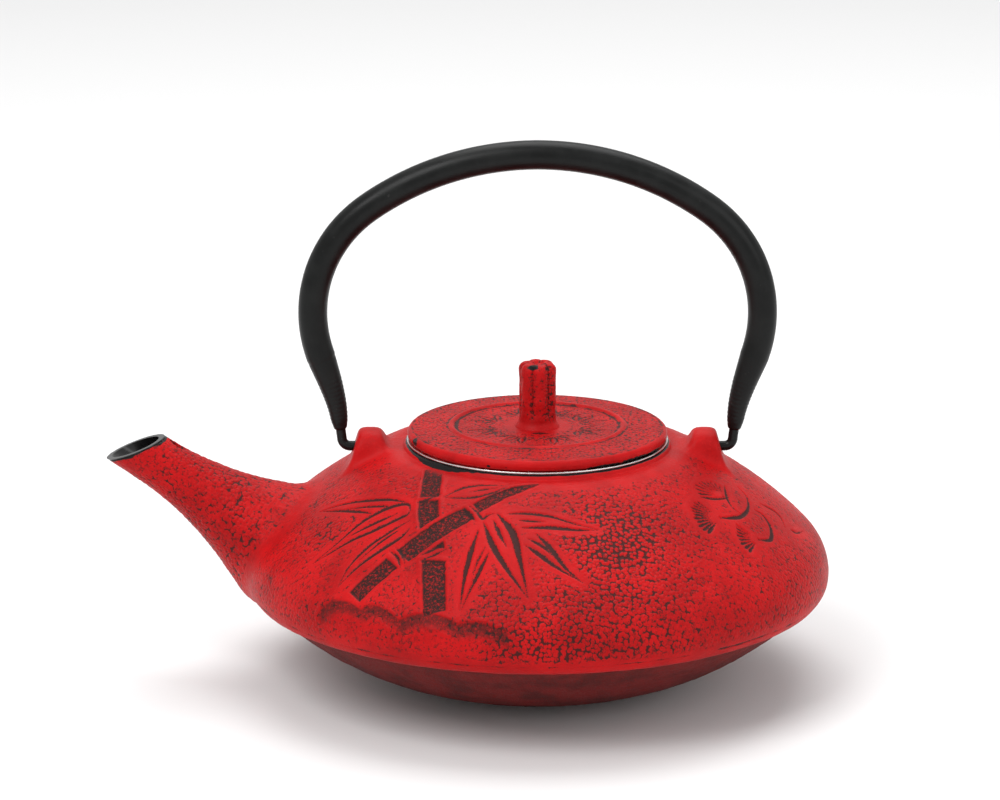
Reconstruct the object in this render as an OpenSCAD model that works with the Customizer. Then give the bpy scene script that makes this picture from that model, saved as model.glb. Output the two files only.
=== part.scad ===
// Cast iron teapot with a swinging bail handle, a lift-off lid and a steel tea infuser.
//
// Frame: the origin is the centre of the foot ring, on the table. +Z is up and the
// spout points along -X. The handle lies in the XZ plane and folds about the X axis.
// The front of the pot is its spout side and the back is the side away from the spout.

/* [Pot] */
// Largest diameter of the pot, at its equator
body_d = 190; // [170:1:210]
// Height of the equator above the table
equator_z = 36; // [33:1:40]
// Thickness of the iron
wall = 3; // [2.5:0.1:4]
// Thickness of the black enamel coat inside the pot and the spout
enamel = 0.3; // [0.2:0.05:0.5]
// Outer diameter of the foot ring
foot_d = 62; // [50:1:70]
// Width of the foot ring's face
foot_w = 4; // [3:0.5:6]

/* [Mouth] */
// Bore of the mouth, inside the enamel
mouth_d = 74; // [72:0.5:76]
// Outer diameter of the flat land round the mouth
land_d = 86.8; // [85:0.2:89]
// Height of the enamelled land above the table
land_z = 79.4; // [78:0.1:82]

/* [Spout] */
// Angle of the spout above the horizontal
spout_tilt = 34.5; // [30:0.5:38]
// Outer diameter of the straight end of the spout
spout_d = 16.6; // [15:0.2:20]
// Inner diameter of the iron at the straight end of the spout
spout_bore_d = 14; // [12:0.2:15]
// Angle of the cut across the spout's mouth above the horizontal
spout_cut = 21; // [15:1:30]
// Diameter of the port through the wall of the pot into the spout
port_d = 22; // [18:0.5:24]

/* [Ears] */
// Distance of each ear's middle from the pot's axis
ear_x = 54.5; // [53:0.5:56]
// Height of the ear's top above the table
ear_top_z = 83.6; // [82:0.2:86]
// Width of an ear across the pot
ear_w = 15; // [12:0.5:18]
// Height of the handle's pivot above the table
pivot_z = 77.2; // [77:0.1:77.6]

/* [Lid] */
// Outer diameter of the lid
lid_d = 84.2; // [80:0.2:86]
// Height of the lid's rounded rim
lid_rim_h = 3.6; // [3:0.1:4]
// Height of the knob above the lid
knob_h = 21; // [16:1:26]
// Diameter of the knob's stem
knob_d = 12.4; // [10:0.2:14]

/* [Handle] */
// Diameter of the handle's steel tube
tube_d = 9.4; // [8:0.2:11]
// Thickness of the tube's steel
tube_wall = 1.2; // [0.8:0.1:1.5]
// Diameter of the rods that hook into the ears
hook_d = 3.2; // [3:0.1:3.6]
// Radial clearance of a hook in its ear
hook_clearance = 0.08; // [0.02:0.01:0.1]

/* [Infuser] */
// Diameter of the infuser's flange
flange_d = 84.6; // [83:0.2:86]
// Outer diameter of the infuser's collar
collar_d = 72.8; // [70:0.2:73]
// Height of the infuser below its flange
infuser_h = 46; // [35:1:50]
// Thickness of the collar's steel
sheet = 0.6; // [0.4:0.1:0.8]
// Thickness of the mesh
mesh_t = 0.4; // [0.3:0.1:0.6]

/* [Hidden] */
$fn = 96;

cast_red = "#c4181c";
enamel_black = "#151515";
handle_black = "#262829";
steel_grey = "#c9ccd0";

// The pot's outline is a chain of arcs about centres [radius from the axis, height].
// Shoulder: a wide arc that runs from the mouth to the turn above the equator.
body_r = body_d / 2;
turn_r = 18;
turn_a = 44;
turn_c = [body_r - turn_r, equator_z];
shoulder_r = 127;
shoulder_a = 67.6;
shoulder_c = turn_c - (shoulder_r - turn_r) * [cos(turn_a), sin(turn_a)];
// Rim below the equator: a tight arc, a straight band and a small step inward
rim_r = 8.5;
rim_a = -45;
rim_c = [body_r - rim_r, equator_z];
band_bottom = [body_r - 6.1, equator_z - 7.6];
step_in = 0.5;
// Underside: one wide arc down to the foot ring
under_r = 100;
under_c = [18.5, equator_z + 63.9];
foot_r = foot_d / 2;
foot_in_r = foot_r - foot_w;

// Lip of the mouth, and the radius of the flat shelf round it where the shoulder starts
land_r = land_d / 2;
mouth_r = mouth_d / 2;
iron_land_z = land_z - enamel;
lip_round = 1.5;
shelf_r = shoulder_c[0] + shoulder_r * cos(shoulder_a);
foot_recess = 1.2;

// The spout's axis runs through spout_p. Distances along it grow towards the mouth.
spout_p = [-111.3, equator_z + 27.8];
spout_r = spout_d / 2;
flare_start = 18;
flare_r = 105;
flare_a = 22;
flare_end = flare_start - flare_r * sin(flare_a);
flare_end_r = spout_r + flare_r * (1 - cos(flare_a));
spout_root = -44;
spout_low_z = equator_z - 7;
spout_tip = 40;
port_r = port_d / 2 + enamel;
channel_r = spout_bore_d / 2;
// A point of the plane that cuts the spout's mouth, relative to the pot's axis
mouth_lip = [-139, equator_z + 37.5];

// Ears: each is a block that leans in on both sides to a rounded top
ear_r = ear_w / 2;
ear_in = 10.5;
ear_out = 8.6;
ear_lean = 0;
ear_root_z = equator_z + 28;
ear_top_r = 4;
ear_face_a = 15;
ear_bore_r = hook_d / 2 + hook_clearance;
ear_bore_end = 52.6;

// Lid
flange_z = land_z + sheet;
lid_r = lid_d / 2;
lid_top_z = flange_z + lid_rim_h;
lid_floor_z = lid_top_z + 0.5;
lid_under_z = flange_z + 1;
skirt_gap = 0.5;
skirt_out_r = collar_d / 2 - sheet - skirt_gap;
skirt_in_r = skirt_out_r - 2.6;
skirt_depth = 4;
ring_out_r = 28.6;
ring_in_r = 26.8;
ring_rise = 0.7;
ring_side = 0.3;
ring_foot = 0.2;
tenon_r = 3;
tenon_head_r = 4.6;
tenon_head_h = 1.2;
knob_foot_r = 7.8;
knob_foot_h = 4;
knob_neck = 0.6;
knob_lobes = 6;
knob_lobe_r = 1.9;
knob_flute = 1.2;
knob_dip = 1.2;

// The handle's centre line: a crown arc, two shoulder arcs, then two tapered legs
tube_r = tube_d / 2;
tube_bore_r = tube_r - tube_wall;
hook_r = hook_d / 2;
crown_r = 94;
crown_a = 35.5;
crown_z = pivot_z + 2.2;
bend_r = 42.5;
bend_a = 74;
bend_c = [0, crown_z] + (crown_r - bend_r) * [sin(crown_a), cos(crown_a)];
leg_top_a = crown_a + bend_a;
leg_top = bend_c + bend_r * [sin(leg_top_a), cos(leg_top_a)];
leg_mid = leg_top + 9.5 * [cos(leg_top_a), -sin(leg_top_a)];
leg_low = leg_mid - [2.1, 7.4];
leg_end = leg_low - [1, 8];
leg_up = (leg_low - leg_end) / norm(leg_low - leg_end);
leg_mid_r = 3.9;
leg_low_r = 3.1;
leg_end_r = 2.7;
leg_mid_bore_r = 2.8;
hook_grip = 12;
hook_bend_r = 2.6;
joint_bead = 0.02;
hook_tip_x = ear_bore_end + 1.2;

// Infuser
collar_r = collar_d / 2;
collar_h = 8;
flange_r = flange_d / 2;
mesh_r = collar_r - sheet;
infuser_z = flange_z - infuser_h;
band_h = 5;
band_lip = 3;
mesh_overlap = 6;

// Points of an arc about c from angle a0 to angle a1, ends included
function arc(c, r, a0, a1, n) =
    [for (i = [0 : n]) c + r * [cos(a0 + (a1 - a0) * i / n), sin(a0 + (a1 - a0) * i / n)]];

// Angle at which the underside's arc, moved inward by t, is at radius x
function under_angle(x, t) = -acos((x - under_c[0]) / (under_r - t));

// The shell's outline from the shoulder down to the underside, moved inward by t
function shell_curve(t, x_in) = concat(
    arc(shoulder_c, shoulder_r - t, shoulder_a, turn_a, 12),
    arc(turn_c, turn_r - t, turn_a * 7 / 8, 0, 7),
    arc(rim_c, rim_r - t, rim_a / 5, rim_a, 4),
    arc(under_c, under_r - t, under_angle(band_bottom[0] - step_in - t, t), under_angle(x_in, t), 12));

// The solid inside the pot's outer surface, with the foot ring under it
module pot_outer() {
    lip_c = [land_r - lip_round, iron_land_z - lip_round];
    rotate_extrude()
        polygon(concat(
            [[0, iron_land_z]],
            arc(lip_c, lip_round, 90, 0, 5),
            arc(shoulder_c, shoulder_r, shoulder_a, turn_a, 12),
            arc(turn_c, turn_r, turn_a * 7 / 8, 0, 7),
            arc(rim_c, rim_r, rim_a / 5, rim_a, 4),
            [band_bottom],
            arc(under_c, under_r, under_angle(band_bottom[0] - step_in, 0), under_angle(foot_r, 0), 12),
            [[foot_r, 0], [foot_in_r, 0], [foot_in_r, foot_recess], [0, foot_recess]]));
}

// The space inside the shell when its wall is t thick, with the mouth open to radius r
module pot_cavity(t, r) {
    floor_z = under_c[1] - under_r + t;
    rotate_extrude()
        polygon(concat(
            [[0, land_z + 1], [r, land_z + 1]],
            [[r, shoulder_c[1] + sqrt(pow(shoulder_r - t, 2) - pow(r - shoulder_c[0], 2))]],
            [for (p = shell_curve(t, under_c[0])) if (p[0] < r || p[1] < land_z) p],
            [[0, floor_z]]));
}

// Turns a shape made along +Z into the spout's axis
module on_spout() {
    translate([spout_p[0], 0, spout_p[1]])
        rotate([0, spout_tilt - 90, 0])
            children();
}

// The spout's outer form before it is cut: a straight end, a flare and a cone
module spout_outer() {
    root_r = flare_end_r + (flare_end - spout_root) * tan(flare_a);
    on_spout()
        rotate_extrude()
            polygon(concat(
                [[0, spout_tip], [spout_r, spout_tip]],
                arc([spout_r + flare_r, flare_start], flare_r, 180, 180 + flare_a, 8),
                [[root_r, spout_root], [0, spout_root]]));
}

// The spout's channel, made smaller by t
module spout_channel(t) {
    on_spout()
        rotate_extrude()
            polygon([[0, spout_tip + 1], [channel_r - t, spout_tip + 1], [channel_r - t, 0],
                [port_r - t, -25], [port_r - t, spout_root], [0, spout_root]]);
}

// Everything above the cut across the spout's mouth, which lies lower by t
module above_mouth_cut(t) {
    translate([mouth_lip[0], -50, mouth_lip[1]])
        rotate([0, -spout_cut, 0])
            translate([-60, 0, -t])
                cube([160, 100, 60]);
}

// The iron of the pot without its spout and ears. The three nodes below are its parts:
// the base under the equator, the shoulder above it and the lip round the mouth.
module pot_iron() {
    difference() {
        pot_outer();
        pot_cavity(wall, mouth_r + enamel);
        spout_channel(0);
    }
}

module pot_base() {
    color(cast_red)
        intersection() {
            pot_iron();
            cylinder(r = 2 * body_r, h = equator_z);
        }
}

module pot_shoulder() {
    color(cast_red)
        difference() {
            pot_iron();
            translate([0, 0, -1])
                cylinder(r = 2 * body_r, h = equator_z + 1);
            cylinder(r = shelf_r, h = 2 * land_z);
        }
}

module pot_lip() {
    color(cast_red)
        intersection() {
            pot_iron();
            translate([0, 0, equator_z])
                cylinder(r = shelf_r, h = land_z);
        }
}

module spout() {
    color(cast_red)
        difference() {
            spout_outer();
            spout_channel(0);
            above_mouth_cut(enamel);
            pot_outer();
            translate([-2 * body_r, -body_r, spout_low_z - body_r])
                cube([2 * body_r, 2 * body_r, body_r]);
        }
}

// The +X ear's block: its outline from the side, rounded across the pot
module ear_block() {
    intersection() {
        translate([0, ear_w, 0])
            rotate([90, 0, 0])
                linear_extrude(2 * ear_w)
                    polygon(concat(
                        [[ear_x - ear_in, ear_root_z], [ear_x + ear_out, ear_root_z]],
                        arc([ear_x + ear_lean, ear_top_z - ear_top_r], ear_top_r,
                            ear_face_a, 180 - 3 * ear_face_a, 8)));
        union() {
            translate([0, 0, ear_top_z - ear_r])
                rotate([0, 90, 0])
                    cylinder(r = ear_r, h = 2 * ear_x);
            translate([0, -ear_r, equator_z])
                cube([2 * ear_x, ear_w, ear_top_z - ear_r - equator_z]);
        }
    }
}

// One ear on the +X side, with the blind hole that its hook turns in
module ear() {
    color(cast_red)
        difference() {
            ear_block();
            pot_outer();
            translate([ear_bore_end, 0, pivot_z])
                rotate([0, 90, 0])
                    cylinder(r = ear_bore_r, h = 2 * ear_w);
        }
}

module ear_front() {
    mirror([1, 0, 0])
        ear();
}

module ear_back() {
    ear();
}

module pot_enamel() {
    color(enamel_black)
        difference() {
            union() {
                pot_cavity(wall, mouth_r + enamel);
                translate([0, 0, iron_land_z])
                    cylinder(r = land_r - lip_round, h = enamel);
            }
            pot_cavity(wall + enamel, mouth_r);
            translate([0, 0, land_z])
                cylinder(r = land_r, h = 2);
            spout_channel(enamel);
        }
}

module spout_enamel() {
    color(enamel_black)
        difference() {
            union() {
                spout_channel(0);
                intersection() {
                    spout_outer();
                    above_mouth_cut(enamel);
                }
            }
            spout_channel(enamel);
            above_mouth_cut(0);
            pot_cavity(wall, mouth_r + enamel);
        }
}

module lid() {
    nose = lid_rim_h / 2;
    color(cast_red)
        rotate_extrude()
            polygon(concat(
                [[tenon_r, lid_under_z], [skirt_in_r, lid_under_z],
                    [skirt_in_r, flange_z - skirt_depth], [skirt_out_r, flange_z - skirt_depth],
                    [skirt_out_r, flange_z]],
                arc([lid_r - nose, flange_z + nose], nose, -90, 90, 10),
                [[ring_out_r, lid_floor_z + ring_foot], [ring_out_r - ring_side, lid_floor_z + ring_rise],
                    [ring_in_r + ring_side, lid_floor_z + ring_rise], [ring_in_r, lid_floor_z],
                    [tenon_r, lid_floor_z]]));
}

// The knob with the tenon that goes through the lid and is peened under it
module lid_knob() {
    stem_r = knob_d / 2;
    core_r = stem_r - knob_lobe_r + knob_flute;
    top_z = lid_floor_z + knob_h;
    lobe_z = top_z - knob_lobe_r;
    color(cast_red)
        union() {
            translate([0, 0, lid_under_z - tenon_head_h])
                cylinder(r = tenon_head_r, h = tenon_head_h);
            translate([0, 0, lid_under_z])
                cylinder(r = tenon_r, h = knob_h);
            translate([0, 0, lid_floor_z])
                cylinder(r1 = knob_foot_r, r2 = stem_r - knob_neck, h = knob_foot_h);
            translate([0, 0, lid_floor_z])
                cylinder(r = core_r, h = knob_h - knob_dip);
            for (i = [0 : knob_lobes - 1])
                rotate([0, 0, 360 * (i + 0.5) / knob_lobes])
                    translate([stem_r - knob_lobe_r, 0, 0]) {
                        translate([0, 0, lid_floor_z])
                            cylinder(r = knob_lobe_r, h = lobe_z - lid_floor_z);
                        translate([0, 0, lobe_z])
                            sphere(r = knob_lobe_r);
                    }
        }
}

// A round rod in the XZ plane from p to q, with radius r0 at p and r1 at q
module rod(p, q, r0, r1) {
    d = q - p;
    translate([p[0], 0, p[1]])
        rotate([0, atan2(d[0], d[1]), 0])
            cylinder(r1 = r0, r2 = r1, h = norm(d));
}

// A ball in the XZ plane, a hair thicker than the bars of radius r that it joins
module joint_ball(p, r) {
    translate([p[0], 0, p[1]])
        sphere(r = r + joint_bead);
}

// A round bar bent in the XZ plane about c, from angle a0 over angle a
module bent_bar(c, bend, r, a0, a) {
    translate([c[0], 0, c[1]])
        rotate([90, 0, 0])
            rotate([0, 0, a0])
                rotate_extrude(angle = a)
                    translate([bend, 0])
                        circle(r = r);
}

// Draws its children on the +X side and mirrored on the -X side
module both_sides() {
    children();
    mirror([1, 0, 0])
        children();
}

// The handle's bar down to the top of each tapered leg, with radius r
module handle_arch(r) {
    crown_end = [0, crown_z] + crown_r * [sin(crown_a), cos(crown_a)];
    bent_bar([0, crown_z], crown_r, r, 90 - crown_a, 2 * crown_a);
    both_sides() {
        joint_ball(crown_end, r);
        bent_bar(bend_c, bend_r, r, 90 - leg_top_a, bend_a);
        joint_ball(leg_top, r);
    }
}

module handle_tube() {
    color(handle_black)
        difference() {
            union() {
                handle_arch(tube_r);
                both_sides() {
                    rod(leg_top, leg_mid, tube_r, leg_mid_r);
                    joint_ball(leg_mid, leg_mid_r);
                    rod(leg_mid, leg_low, leg_mid_r, leg_low_r);
                    joint_ball(leg_low, leg_low_r);
                    rod(leg_low, leg_end, leg_low_r, leg_end_r);
                }
            }
            handle_arch(tube_bore_r);
            both_sides() {
                rod(leg_top, leg_mid, tube_bore_r, leg_mid_bore_r);
                rod(leg_end - leg_up, leg_end + hook_grip * leg_up, hook_r, hook_r);
            }
        }
}

// The rod pressed into the back leg, bent inward into the back ear
module hook() {
    inward = [-leg_up[1], leg_up[0]];
    drop = (leg_end[1] + hook_bend_r * inward[1] - pivot_z - hook_bend_r) / leg_up[1];
    bend_start = leg_end - drop * leg_up;
    c = bend_start + hook_bend_r * inward;
    bend_end = [c[0], pivot_z];
    color(handle_black)
        union() {
            rod(bend_start, leg_end + hook_grip * leg_up, hook_r, hook_r);
            joint_ball(bend_start, hook_r);
            bent_bar(c, hook_bend_r, hook_r, -90, 90 + atan2(-inward[1], -inward[0]));
            joint_ball(bend_end, hook_r);
            rod([hook_tip_x, pivot_z], bend_end, hook_r, hook_r);
        }
}

module handle_hook_front() {
    mirror([1, 0, 0])
        hook();
}

module handle_hook_back() {
    hook();
}

// The flange that hangs in the mouth, drawn in one piece with its collar
module infuser_rim() {
    color(steel_grey)
        rotate_extrude()
            polygon([[mesh_r, flange_z - collar_h], [collar_r, flange_z - collar_h],
                [collar_r, land_z], [flange_r, land_z], [flange_r, flange_z], [mesh_r, flange_z]]);
}

module infuser_mesh_wall() {
    color(steel_grey)
        translate([0, 0, infuser_z + sheet + mesh_t])
            difference() {
                wall_h = flange_z - collar_h + mesh_overlap - infuser_z - sheet - mesh_t;
                cylinder(r = mesh_r, h = wall_h);
                translate([0, 0, -1])
                    cylinder(r = mesh_r - mesh_t, h = wall_h + 2);
            }
}

// The band that holds the mesh floor against the mesh wall
module infuser_bottom_band() {
    color(steel_grey)
        rotate_extrude()
            polygon([[mesh_r - band_lip, infuser_z], [collar_r, infuser_z],
                [collar_r, infuser_z + band_h], [mesh_r, infuser_z + band_h],
                [mesh_r, infuser_z + sheet], [mesh_r - band_lip, infuser_z + sheet]]);
}

module infuser_mesh_floor() {
    color(steel_grey)
        translate([0, 0, infuser_z + sheet])
            cylinder(r = mesh_r, h = mesh_t);
}

pot_base();
pot_shoulder();
pot_lip();
spout();
ear_front();
ear_back();
pot_enamel();
spout_enamel();
lid();
lid_knob();
handle_tube();
handle_hook_front();
handle_hook_back();
infuser_rim();
infuser_mesh_wall();
infuser_bottom_band();
infuser_mesh_floor();
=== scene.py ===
"""Cast iron teapot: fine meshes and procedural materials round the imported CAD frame.

Sizes are in millimetres here and become metres when a mesh is made. The pot's axis is Z,
the spout points along -X and the front of the pot, with its bamboo, faces -Y.
"""

from math import asin, ceil, cos, hypot, pi, radians, sin, sqrt, tan

import bpy
import numpy as np
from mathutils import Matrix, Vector


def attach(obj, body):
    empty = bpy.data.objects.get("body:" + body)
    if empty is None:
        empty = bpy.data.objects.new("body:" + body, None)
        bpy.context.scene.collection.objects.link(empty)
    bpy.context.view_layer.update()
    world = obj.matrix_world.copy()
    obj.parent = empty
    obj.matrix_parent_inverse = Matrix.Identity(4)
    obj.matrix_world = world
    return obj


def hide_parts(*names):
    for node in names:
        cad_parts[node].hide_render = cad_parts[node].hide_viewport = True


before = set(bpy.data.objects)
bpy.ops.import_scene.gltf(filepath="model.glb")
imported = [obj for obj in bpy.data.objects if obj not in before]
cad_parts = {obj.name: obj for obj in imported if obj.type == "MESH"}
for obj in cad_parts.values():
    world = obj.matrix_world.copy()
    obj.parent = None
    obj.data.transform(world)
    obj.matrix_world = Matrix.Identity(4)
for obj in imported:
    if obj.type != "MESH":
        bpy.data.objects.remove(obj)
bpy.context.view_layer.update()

MM = 0.001

# ---------------------------------------------------------------- sizes of the object, in mm
EQUATOR_Z = 36.0
WALL, ENAMEL = 3.0, 0.3
TURN_C, TURN_R, TURN_A = (77.0, EQUATOR_Z), 18.0, radians(44)
SHOULDER_R, SHOULDER_A = 127.0, radians(67.6)
SHOULDER_C = (TURN_C[0] - (SHOULDER_R - TURN_R) * cos(TURN_A),
              TURN_C[1] - (SHOULDER_R - TURN_R) * sin(TURN_A))
RIM_C, RIM_R, RIM_A = (86.5, EQUATOR_Z), 8.5, radians(45)
BAND_R, BAND_Z = 88.9, 28.4
UNDER_C, UNDER_R = (18.5, 99.9), 100.0
FOOT_R, FOOT_IN_R, FOOT_RECESS = 31.0, 27.0, 1.2
LAND_R, LAND_Z, LIP_ROUND, SHELF_Z = 43.4, 79.1, 1.5, 77.65
MOUTH_R = 37.3
INNER_R = 84.05

SPOUT_P = np.array([-111.3, 0.0, 63.8])
SPOUT_T = radians(34.5)
SPOUT_AXIS = np.array([-cos(SPOUT_T), 0.0, sin(SPOUT_T)])
SPOUT_R, FLARE_START, FLARE_R, FLARE_A = 8.3, 18.0, 105.0, radians(22)
FLARE_END = FLARE_START - FLARE_R * sin(FLARE_A)
FLARE_END_R = SPOUT_R + FLARE_R * (1 - cos(FLARE_A))
SPOUT_ROOT, SPOUT_LOW_Z, CHANNEL_R, PORT_R = -44.0, 29.2, 7.0, 11.3
CUT_P, CUT_A = np.array([-139.0, 0.0, 73.5]), radians(21)
CUT_N = np.array([-sin(CUT_A), 0.0, cos(CUT_A)])

PIVOT_Z = 77.2
EAR_R, EAR_ROUND_Z, EAR_TOP, EAR_BORE_R, EAR_BORE_X = 7.5, 76.1, 83.8, 1.68, 52.6
# The ear's outer and inner faces: where they are at EAR_LEVEL, and the way they face.
EAR_LEVEL, EAR_OUT_X, EAR_IN_X = 64.0, 63.1, 42.7
EAR_OUT_N, EAR_IN_N = (0.9618, 0.2741), (0.9233, 0.3843)

LID_R, FLANGE_Z, LID_TOP, LID_FLOOR, LID_UNDER = 42.1, 80.0, 83.6, 84.1, 81.0
SKIRT_R, SKIRT_IN_R, SKIRT_LOW = 35.3, 32.7, 76.0
KNOB_TOP, KNOB_R, KNOB_RIBS, KNOB_CROWN = 105.1, 6.2, 6, 2.2


# ---------------------------------------------------------------- numeric helpers
def smooth(x, a, b):
    """0 below a, 1 above b, smooth between."""
    t = np.clip((x - a) / (b - a), 0, 1)
    return t * t * (3 - 2 * t)


def between(x, a, b, c, d):
    """1 from b to c, fading to 0 at a and at d."""
    return smooth(x, a, b) * (1 - smooth(x, c, d))


def smin(a, b, k):
    """The smaller of two fields, with a fillet about k wide where they meet."""
    h = np.maximum(k - np.abs(a - b), 0) / k
    return np.minimum(a, b) - h * h * k / 4


def smax(a, b, k):
    return -smin(-a, -b, k)


def rand_grid(ix, iy, iz, seed):
    """A fixed pseudo-random 32-bit number for each whole-number place."""
    h = (ix.astype(np.uint32) * np.uint32(73856093)) ^ (iy.astype(np.uint32) * np.uint32(19349663))
    h ^= iz.astype(np.uint32) * np.uint32(83492791)
    h += np.uint32(seed * 2654435 % 4294967291)
    h ^= h >> np.uint32(13)
    h *= np.uint32(1540483477)
    h ^= h >> np.uint32(15)
    h *= np.uint32(2246822519)
    return h ^ (h >> np.uint32(13))


def value_noise(p, size, seed):
    """Smooth noise from -1 to 1 whose lumps are about size mm."""
    q = p / size
    base = np.floor(q)
    f = q - base
    f = f * f * (3 - 2 * f)
    base = base.astype(np.int64)
    total = 0
    for dx in (0, 1):
        for dy in (0, 1):
            for dz in (0, 1):
                h = rand_grid(base[:, 0] + dx, base[:, 1] + dy, base[:, 2] + dz, seed)
                w = (f[:, 0] if dx else 1 - f[:, 0]) * (f[:, 1] if dy else 1 - f[:, 1])
                total = total + w * (f[:, 2] if dz else 1 - f[:, 2]) * (h / 2147483648.0 - 1)
    return total


def cells(p, size, seed):
    """Distance from each point to its nearest and second nearest seed point, in cells."""
    q = p / size
    base = np.floor(q).astype(np.int64)
    near = np.full(len(p), 9.0)
    second = np.full(len(p), 9.0)
    for dx in (-1, 0, 1):
        for dy in (-1, 0, 1):
            for dz in (-1, 0, 1):
                c = base + (dx, dy, dz)
                h = rand_grid(c[:, 0], c[:, 1], c[:, 2], seed)
                seed_at = np.stack([h & 1023, (h >> 10) & 1023, (h >> 20) & 1023], 1) / 1023.0
                d = np.sqrt(((q - c - seed_at) ** 2).sum(1))
                second = np.minimum(second, np.maximum(near, d))
                near = np.minimum(near, d)
    return near, second


# ---------------------------------------------------------------- mesh helpers
def make_piece(name, verts, faces, body, replaces=(), attrs=None, materials=()):
    """A smooth-shaded mesh piece. verts are in mm, faces a list of arrays of quads or triangles."""
    mesh = bpy.data.meshes.new(name)
    mesh.vertices.add(len(verts))
    mesh.vertices.foreach_set("co", (np.asarray(verts) * MM).astype(np.float32).ravel())
    faces = [np.asarray(f, np.int32) for f in faces if len(f)]
    sizes = np.concatenate([np.full(len(f), f.shape[1], np.int32) for f in faces])
    mesh.loops.add(int(sizes.sum()))
    mesh.loops.foreach_set("vertex_index", np.concatenate([f.ravel() for f in faces]))
    mesh.polygons.add(len(sizes))
    starts = np.concatenate([[0], np.cumsum(sizes)[:-1]]).astype(np.int32)
    mesh.polygons.foreach_set("loop_start", starts)
    mesh.polygons.foreach_set("use_smooth", np.ones(len(sizes), bool))
    for key, values in (attrs or {}).items():
        flat = np.ndim(values) == 1
        layer = mesh.attributes.new(key, "FLOAT" if flat else "FLOAT_VECTOR", "POINT")
        layer.data.foreach_set("value" if flat else "vector", np.asarray(values, np.float32).ravel())
    mesh.update(calc_edges=True)
    mesh.validate()
    piece = bpy.data.objects.new(name, mesh)
    bpy.context.scene.collection.objects.link(piece)
    for material in materials:
        mesh.materials.append(material)
    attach(piece, body)
    if replaces:
        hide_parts(*replaces)
    return piece


def capped(p, attrs, count, ends):
    """Closes rings of count vertices. Each of ends is a ring's row, its middle and whether it faces back."""
    fans = []
    for row, middle, back in ends:
        ring = np.arange(count) + row * count
        p = np.vstack([p, [middle]])
        for key in attrs:
            attrs[key] = np.append(attrs[key], attrs[key][row * count])
        tri = np.stack([ring, np.roll(ring, -1), np.full(count, len(p) - 1)], 1)
        fans.append(tri[:, ::-1] if back else tri)
    return p, fans


def grid_faces(rows, cols, wrap_rows=False, wrap_cols=False, start=0):
    """Quads of a grid of rows x cols vertices, numbered row by row."""
    i = np.arange(rows if wrap_rows else rows - 1)[:, None]
    j = np.arange(cols if wrap_cols else cols - 1)[None, :]
    i2, j2 = (i + 1) % rows, (j + 1) % cols
    quads = np.stack([i * cols + j, i * cols + j2, i2 * cols + j2, i2 * cols + j], -1)
    return quads.reshape(-1, 4) + start


def revolve(profile, count):
    """Vertices of a turned surface. The profile is rows of radius and height."""
    a = np.arange(count) * 2 * pi / count
    profile = np.asarray(profile, float)
    x = profile[:, 0, None] * np.cos(a)
    y = profile[:, 0, None] * np.sin(a)
    z = np.broadcast_to(profile[:, 1, None], x.shape)
    return np.stack([x, y, z], -1).reshape(-1, 3)


def arc(c, r, a0, a1, n):
    """Points of an arc in the radius-height plane, angles in radians, ends included."""
    a = np.linspace(a0, a1, n)
    return [(c[0] + r * cos(t), c[1] + r * sin(t)) for t in a]


def even(points, step):
    """The same line with a point about every step mm."""
    p = np.asarray(points, float)
    along = np.concatenate([[0], np.cumsum(np.linalg.norm(np.diff(p, axis=0), axis=1))])
    s = np.linspace(0, along[-1], max(2, ceil(along[-1] / step) + 1))
    return np.stack([np.interp(s, along, p[:, k]) for k in range(p.shape[1])], 1)


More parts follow.
